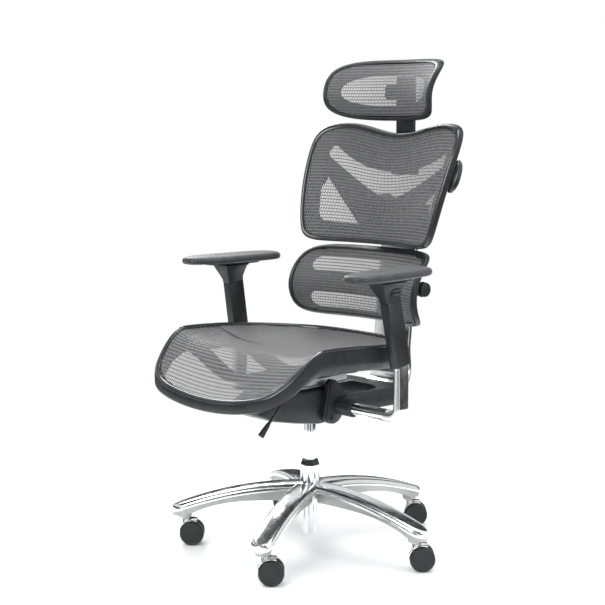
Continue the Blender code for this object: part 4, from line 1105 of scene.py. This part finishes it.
def block(name: str, low: Sequence[float], high: Sequence[float], corner: float) -> bpy.types.Object:
    """A rounded block between two corners.

    Args:
        name: the object's name.
        low: its lowest corner: x from the column's axis, y and z in the chair's frame.
        high: its highest corner likewise.
        corner: radius of its edges.

    Returns:
        The block, in place.
    """
    deselect_all()
    first, last = Vector(low), Vector(high)
    shift = Vector((COLUMN.x, 0, 0))
    bpy.ops.mesh.primitive_cube_add(size=1, location=(first + last) / 2 + shift)
    obj = bpy.context.object
    obj.name = name
    obj.scale = last - first
    return rounded(settle(obj), corner, 4)


def slot_outline(half_width: float, low: float, high: float) -> list[Point]:
    """A long slot with round ends."""
    radius, middle = (high - low) / 2, (high + low) / 2
    reach = half_width - radius
    return arc((reach, middle), radius, -90, 90, 20) + arc((-reach, middle), radius, 90, 270, 20)


def cut_window(obj: bpy.types.Object, outline: Sequence[Point]) -> None:
    """Cuts an (x, z) outline through a shell from front to back.

    Args:
        obj: the shell.
        outline: the window's edge about the column's axis.
    """
    cutter = from_bmesh("cutter", skin([[Vector((a, y, b)) for a, b in outline] for y in (0.0, 0.5)]))
    add_modifier(obj, "BOOLEAN", operation="DIFFERENCE", solver="EXACT", object=cutter)
    bpy.data.objects.remove(cutter, do_unlink=True)


@dataclass
class Spine:
    """Polished flat bar that carries the back."""

    wardrobe: Wardrobe
    start: float = 0.2363
    level: float = 0.360
    bend: float = 0.055
    y: float = 0.297
    lean: float = 0.10
    top: float = 0.760
    half_width: float = 0.068
    thickness: float = 0.014

    def build(self) -> None:
        """Builds the bar."""
        turn = arc((self.y - self.bend, self.level + self.bend), self.bend, -90, 0, 36)
        path = [Vector((0, self.start, self.level)), Vector((0, self.start + 0.003, self.level))]
        path += [Vector((0, y, z)) for y, z in turn if y > self.start + 0.006]
        path += [Vector((0, self.y + self.lean * (z - 0.50), z)) for z in (0.46, 0.50, 0.58, 0.67, self.top)]

        def section(share: float) -> list[Point]:
            """Section that narrows upwards."""
            narrowing = 1 - 0.12 * smooth_step(share, 0.2, 0.9)
            return rounded_section(self.half_width * narrowing, self.thickness / 2, 0.0052, 6)

        bar = from_bmesh("spine_bar", swept(path, Vector((1, 0, 0)), section))
        finish(bar, self.wardrobe.aluminium, "recline", Slot.ALUMINIUM, "spine", degrees=40)


@dataclass
class Arm:
    """One arm: tube, bent bar, sleeve, head with its trigger, and the soft pad."""

    wardrobe: Wardrobe
    side: Side
    centre: float = 0.275
    y: float = 0.018
    tube_z: float = 0.358
    bar_width: float = 0.038
    bar_thickness: float = 0.020
    bar_bend: float = 0.026
    sleeve_bottom: float = 0.480
    lean: Vector = field(default_factory=lambda: Vector((-0.048, -0.185, 1.0)).normalized())
    head_top: float = 0.674
    plate_thickness: float = 0.0073
    tube_radius: float = 0.015
    tube_start: float = 0.0899
    pad_length: float = 0.280
    pad_half_width: float = 0.050
    pad_y: float = -0.016
    toe_out: float = math.radians(6)

    def at(self, z: float) -> Vector:
        """Point of the sleeve's centre line at a height."""
        up = Vector((self.lean.x * self.side.value, self.lean.y, self.lean.z))
        foot = Vector((self.side.value * self.centre, self.y, self.sleeve_bottom))
        return foot + up * ((z - self.sleeve_bottom) / up.z)

    def bar(self) -> None:
        """Builds the polished bar from the tube up into the sleeve."""
        bend, sign = self.bar_bend, self.side.value
        turn = arc((self.centre - bend + 0.002, self.tube_z + bend), bend, -90, 0, 24)
        path = [Vector((sign * (self.centre - 0.036), self.y, self.tube_z))]
        path += [Vector((sign * x, self.y, z)) for x, z in turn]
        path += [self.at(self.sleeve_bottom + rise) for rise in (-0.010, -0.003, 0.004, 0.020)]

        def section(share: float) -> list[Point]:
            """Section that is a little stouter at the tube."""
            grown = 1 + 0.10 * (1 - share)
            half_width, half_height = self.bar_width / 2 * grown, self.bar_thickness / 2 * grown
            return rounded_section(half_width, half_height, 0.0075 * grown, 6)

        bar = from_bmesh(f"arm_{self.side.hand}_bent_bar", swept(path, Vector((0, 1, 0)), section))
        node = f"arm_{self.side.hand}_bar"
        finish(bar, self.wardrobe.aluminium, "recline", Slot.ALUMINIUM, node, degrees=50)

    def outline(self, pivot: Vector, shrink: float) -> list[Point]:
        """Plan of the pad, drawn in by shrink."""
        turn = self.toe_out * self.side.value
        points = []
        for k in range(96):
            s, t = squircle(2 * math.pi * k / 96, 3.2)
            half = self.pad_half_width * (1.0 - 0.16 * max(0.0, -t) ** 1.5) - shrink
            across, along = half * s, self.pad_y - pivot.y + (self.pad_length / 2 - shrink) * t
            points.append((
                pivot.x + across * math.cos(turn) - along * math.sin(turn),
                pivot.y + across * math.sin(turn) + along * math.cos(turn),
            ))
        return points

    def pad(self) -> None:
        """Builds the soft pad: flat below, full edges, gently crowned top."""
        top = self.at(self.head_top)
        low = self.head_top + self.plate_thickness
        rings = []
        for shrink, height in (
            (0.0440, 0.0004), (0.020, 0.0), (0.0070, 0.0), (0.0040, 0.0006), (0.0012, 0.0030),
            (0.0, 0.0070), (0.0004, 0.0110), (0.0020, 0.0142), (0.0048, 0.0165), (0.0090, 0.0177),
            (0.016, 0.0182), (0.026, 0.0184), (0.036, 0.0184), (0.046, 0.0183),
        ):
            rings.append([Vector((a, b, low + height)) for a, b in self.outline(top, shrink)])
        pad = from_bmesh(f"arm_{self.side.hand}_soft_pad", skin(rings))
        node = f"arm_{self.side.hand}_pad"
        finish(pad, self.wardrobe.skin, node, Slot.PAD, node, degrees=60)

    def build(self) -> None:
        """Builds and dresses every piece of the arm."""
        hand, looks = self.side.hand, self.wardrobe
        start, radius = self.side.value * self.tube_start, self.tube_radius
        end = self.side.value * (self.centre - 0.0363)
        turn = Matrix.Rotation(math.radians(90), 4, "Y")
        length = abs(end - start)
        profile = [(0, -length / 2), (radius - 0.0012, -length / 2), (radius, -length / 2 + 0.0012)]
        profile += [(radius, length / 2 - 0.0012), (radius - 0.0012, length / 2), (0, length / 2)]
        place = Matrix.Translation(((start + end) / 2, self.y, self.tube_z)) @ turn
        tube = spun(f"arm_{hand}_chrome_tube", profile, 64, place)
        finish(tube, looks.chrome, "recline", Slot.CHROME, f"arm_{hand}_tube")
        self.bar()
        self.pad()
        for name, bevel in (("sleeve", TRIM_EDGE), ("head", MOULD_EDGE)):
            finish_node(f"arm_{hand}_{name}", bevel, Slot.PLASTIC, looks.plastic)
        finish_node(f"arm_{hand}_trigger", TRIM_EDGE, Slot.PLASTIC, looks.gloss)
        finish_node(f"arm_{hand}_pad_plate", 0.001, Slot.DARK_METAL, looks.dark_metal)


@dataclass
class Mechanism:
    """Tilt housing, lever, pin and yoke."""

    wardrobe: Wardrobe

    def build(self) -> None:
        """Refines the CAD pieces and dresses them."""
        looks = self.wardrobe
        finish_node("mechanism_housing", 0.0025, Slot.PLASTIC, looks.plastic)
        finish_node("control_lever", METAL_EDGE, Slot.PLASTIC, looks.plastic)
        finish_node("tilt_pivot_pin", METAL_EDGE, Slot.STEEL, looks.steel)
        finish_node("yoke", 0.0012, Slot.PLASTIC, looks.plastic)


@dataclass
class Base:
    """Five-arm base, column tube, bush, gas cylinder, rod and bearing."""

    wardrobe: Wardrobe
    reach: float = 0.307
    tip: float = 0.031
    turn: float = math.radians(7.7)
    arms: int = 5
    half_width: float = 0.031
    shell: float = 0.017
    sag: float = 0.62
    foot_fall: float = 0.045
    hub_top: float = 0.161
    hub_bottom: float = 0.112
    socket_bottom: float = 0.069

    def way(self, index: int) -> Vector:
        """Direction of an arm."""
        angle = self.turn + 2 * math.pi * index / self.arms
        return Vector((math.cos(angle), math.sin(angle), 0))

    def arm(self, index: int) -> bmesh.types.BMesh:
        """One arm: wide domed top over a narrower cast rib."""
        way = self.way(index)
        side = way.cross(Vector((0, 0, -1)))
        shares = [0.07 + 0.93 * k / 30 for k in range(31)]
        rings = []
        for share in shares + [1 + 0.1 * math.sin(math.pi / 2 * k / 10) for k in range(1, 11)]:
            past = max(0.0, share - 1)
            radius = min(share, 1.0) * self.reach + past * 10 * self.tip
            top = self.hub_top - self.sag * max(0.0, radius - 0.02) ** 2
            foot = max(self.hub_bottom + 0.004 - self.foot_fall * share**4, self.socket_bottom + 0.002)
            foot += past * 0.03
            end = math.sqrt(max(0.0, 1 - (past * 10) ** 2)) * 0.95 + 0.05
            half = self.half_width * (1.04 - 0.12 * share) * end
            rib = half * 0.58
            edge = max(top - self.shell, foot + 0.002)
            section = [(-rib, foot + 0.0015), (-rib + 0.0015, foot), (rib - 0.0015, foot)]
            section += [(rib, foot + 0.0015), (rib, edge - 0.001), (half - 0.001, edge - 0.0005)]
            for k in range(25):
                a = math.pi * k / 24
                c, s = math.cos(a), math.sin(a)
                section.append((half * math.copysign(abs(c) ** 0.62, c), edge + (top - edge) * s**0.62))
            section += [(-half + 0.001, edge - 0.0005), (-rib, edge - 0.001)]
            rings.append([way * radius + side * a + UP * b for a, b in section])
        return skin(rings)

    def build(self) -> None:
        """Builds the star and the column."""
        looks = self.wardrobe
        pieces = []
        for index in range(self.arms):
            arm = from_bmesh(f"star_arm_{index + 1}", self.arm(index))
            dress(arm, looks.aluminium, looks.cast)
            for face in arm.data.polygons:
                if len(face.vertices) == 4 and face.index % ARM_SIDES in CAST_SIDES:
                    face.material_index = 1
            smooth(arm, 40)
            pieces.append(arm)
            foot = self.way(index) * self.reach + UP * self.socket_bottom
            socket = [(0.0062, 0.0), (0.0155, 0.0), (0.0165, 0.001), (0.0175, 0.020), (0.0062, 0.022)]
            ring = spun(f"star_socket_{index + 1}", socket, 40, Matrix.Translation(foot))
            dress(ring, looks.cast)
            pieces.append(smooth(ring))
        hub = [(0.0238, 0.1125), (0.0395, 0.1125), (0.041, 0.114), (0.0408, 0.1215), (0.0368, 0.1565)]
        hub += [(0.0350, 0.1600), (0.0325, 0.1612), (0.0250, 0.1612), (0.0238, 0.1600)]
        ring = spun("star_hub", hub, 72)
        dress(ring, looks.aluminium)
        pieces.append(smooth(ring))
        deselect_all()
        for piece in pieces:
            piece.select_set(True)
        bpy.context.view_layer.objects.active = pieces[0]
        bpy.ops.object.join()
        star = bpy.context.object
        star.name = "star_base_casting"
        hand_over(star, "base", Slot.ALUMINIUM, "star_base")
        self.column(looks)

    def column(self, looks: Wardrobe) -> None:
        """Builds the turned pieces of the column."""
        tube = [(0.0160, 0.0375), (0.0178, 0.0340), (0.0185, 0.0350), (0.0185, 0.1055), (0.0192, 0.1062)]
        tube += [(0.0228, 0.1094), (0.0235, 0.1105), (0.0235, 0.2035), (0.0225, 0.2048)]
        tube += [(0.0170, 0.2049), (0.0160, 0.2040)]
        finish(spun("column_outer_tube", tube, 96), looks.chrome, "base", Slot.CHROME, "column_tube")
        bush = [(0.0146, 0.2155), (0.0146, 0.156), (0.0157, 0.156), (0.0157, 0.2053), (0.0222, 0.2053)]
        bush += [(0.0226, 0.2066), (0.0214, 0.2085), (0.0204, 0.2130), (0.0196, 0.2160)]
        bush += [(0.0186, 0.2165), (0.0152, 0.2165)]
        finish(spun("column_bush", bush, 72), looks.plastic, "base", Slot.PLASTIC, "guide_bush")
        gas = [(0.0057, 0.1250), (0.0130, 0.1250), (0.0140, 0.1262), (0.0140, 0.3515)]
        gas += [(0.0130, 0.3520), (0.0057, 0.3520)]
        finish(spun("column_gas_cylinder", gas, 80), looks.chrome, "lift", Slot.CHROME, "gas_cylinder")
        finish_node("piston_rod", 0.0003, Slot.STEEL, looks.steel)
        finish_node("thrust_bearing", TURNED_EDGE, Slot.STEEL, looks.steel)


@dataclass
class Caster:
    """One twin-wheel caster."""

    wardrobe: Wardrobe
    number: int
    wheel_radius: float = 0.030
    web: float = 0.009
    width: float = 0.019
    heading: float = math.radians(45.8)
    play: float = 0.0006

    def wheel(self, side: Side) -> None:
        """Builds one wheel: tread, round shoulders and a dished face with a hub ring."""
        low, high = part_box(f"caster_{self.number}_wheel_{side.hand}")
        other_low, other_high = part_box(f"caster_{self.number}_wheel_{Side(-side.value).hand}")
        centre = (low + high + other_low + other_high) / 4 - COLUMN
        centre.z = self.wheel_radius * math.cos(math.pi / 24)
        axle = Vector((math.sin(self.heading), -math.cos(self.heading), 0)) * side.value
        inner = self.web / 2 + self.play
        outer = inner + self.width
        bore, tread = 0.0046, centre.z
        profile = [(bore, inner), (tread - 0.003, inner), (tread - 0.0008, inner + 0.0008)]
        profile += [(tread, inner + 0.003), (tread, outer - 0.0065), (tread - 0.0006, outer - 0.0045)]
        profile += [(tread - 0.0022, outer - 0.0018), (tread - 0.0042, outer - 0.0002)]
        profile += [(tread - 0.0052, outer), (tread - 0.0062, outer - 0.0006)]
        profile += [(tread - 0.0072, outer - 0.0010), (0.0105, outer + 0.0006), (0.0098, outer + 0.0004)]
        profile += [(0.0090, outer + 0.0010), (0.0050, outer + 0.0016), (0.0, outer + 0.0017)]
        profile += [(0.0, outer + 0.0004), (bore, outer + 0.0004)]
        facing = Matrix((UP.cross(axle), UP, axle)).transposed()
        facing.col[1] = axle.cross(facing.col[0])
        place = Matrix.Translation(centre) @ facing.to_4x4()
        wheel = spun(f"caster_{self.number}_rolling_wheel_{side.hand}", profile, 56, place)
        activate(wheel)
        bpy.ops.object.mode_set(mode="EDIT")
        bpy.ops.mesh.select_all(action="SELECT")
        bpy.ops.mesh.normals_make_consistent(inside=False)
        bpy.ops.object.mode_set(mode="OBJECT")
        node = f"caster_{self.number}_wheel_{side.hand}"
        finish(wheel, self.wardrobe.tyre, BODY_OF[node], Slot.RUBBER, node, degrees=25)

    def build(self) -> None:
        """Builds the wheels and refines the hood and the stem."""
        for side in Side:
            self.wheel(side)
        finish_node(f"caster_{self.number}_hood", TURNED_EDGE, Slot.CHROME, self.wardrobe.chrome)
        finish_node(f"caster_{self.number}_stem", TURNED_EDGE, Slot.STEEL, self.wardrobe.steel)


@dataclass
class Studio:
    """Floor, soft light and the camera."""

    camera_at: Vector = field(default_factory=lambda: Vector((2.336, -2.296, 1.048)))
    target: Vector = field(default_factory=lambda: Vector((-0.0178, -0.0085, 0.5993)))
    lens: float = 82.04

    def build(self) -> None:
        """Builds the stage."""
        deselect_all()
        bpy.ops.mesh.primitive_circle_add(vertices=96, radius=1.25, fill_type="NGON", location=(0, 0, 0))
        floor = bpy.context.object
        floor.name = "studio_floor"
        dress(settle(floor), Paint("studio_floor_paint", (0.93, 0.94, 0.955)).mix())
        camera_data = bpy.data.cameras.new("camera")
        camera_data.lens = self.lens
        camera_data.sensor_width = 36
        camera = bpy.data.objects.new("camera", camera_data)
        bpy.context.scene.collection.objects.link(camera)
        camera.location = self.camera_at + COLUMN
        camera.rotation_euler = (self.target - self.camera_at).to_track_quat("-Z", "Y").to_euler()
        bpy.context.scene.camera = camera
        self.light("key", (0.4, -3.0, 2.6), 1.8, 70)
        self.light("fill", (3.4, 0.4, 1.4), 1.2, 24)
        self.light("rim", (-2.8, 1.2, 2.4), 1.4, 60)
        self.light("top", (0.3, 0.6, 3.6), 2.0, 60)
        self.surroundings()
        bpy.context.scene.view_settings.view_transform = "Standard"

    def surroundings(self) -> None:
        """White behind the chair; light and dark studio walls for the metal to reflect."""
        world = bpy.data.worlds.new("studio_world")
        world.use_nodes = True
        nodes, links = world.node_tree.nodes, world.node_tree.links
        coords = nodes.new("ShaderNodeTexCoord")
        patches = nodes.new("ShaderNodeTexWave")
        patches.bands_direction = "DIAGONAL"
        patches.inputs["Scale"].default_value = 0.62
        patches.inputs["Distortion"].default_value = 1.5
        patches.inputs["Detail"].default_value = 0.0
        walls = nodes.new("ShaderNodeValToRGB")
        walls.color_ramp.elements[0].position, walls.color_ramp.elements[1].position = 0.30, 0.72
        walls.color_ramp.elements[0].color = (0.02, 0.022, 0.025, 1.0)
        walls.color_ramp.elements[1].color = (0.80, 0.81, 0.83, 1.0)
        links.new(coords.outputs["Generated"], patches.inputs["Vector"])
        links.new(patches.outputs["Fac"], walls.inputs["Fac"])
        reflected = nodes["Background"]
        links.new(walls.outputs["Color"], reflected.inputs["Color"])
        plain = nodes.new("ShaderNodeBackground")
        plain.inputs["Color"].default_value = (1.0, 1.0, 1.0, 1.0)
        plain.inputs["Strength"].default_value = 1.0
        path = nodes.new("ShaderNodeLightPath")
        mix = nodes.new("ShaderNodeMixShader")
        links.new(path.outputs["Is Glossy Ray"], mix.inputs["Fac"])
        links.new(plain.outputs["Background"], mix.inputs[1])
        links.new(reflected.outputs["Background"], mix.inputs[2])
        links.new(mix.outputs["Shader"], nodes["World Output"].inputs["Surface"])
        bpy.context.scene.world = world

    def light(self, name: str, place: Sequence[float], size: float, power: float) -> None:
        """Adds a square softbox aimed at the seat.

        Args:
            name: its name.
            place: where it hangs.
            size: of its side.
            power: in watts.
        """
        data = bpy.data.lights.new(name, "AREA")
        data.energy, data.size = power, size
        lamp = bpy.data.objects.new(name, data)
        bpy.context.scene.collection.objects.link(lamp)
        lamp.location = place
        lamp.rotation_euler = (Vector((0, 0, 0.5)) - Vector(place)).to_track_quat("-Z", "Y").to_euler()


def main() -> None:
    """Builds the chair from the floor up and sets the stage."""
    logging.basicConfig(level=logging.INFO, format="%(name)s: %(message)s")
    wardrobe = Wardrobe()
    Studio().build()
    Base(wardrobe).build()
    for number in range(1, 6):
        Caster(wardrobe, number).build()
    Mechanism(wardrobe).build()
    Spine(wardrobe).build()
    Seat(wardrobe).build()
    for side in Side:
        Arm(wardrobe, side).build()
    UpperBack(wardrobe).build()
    Lumbar(wardrobe).build()
    Headrest(wardrobe).build()


if __name__ == "__main__":
    main()
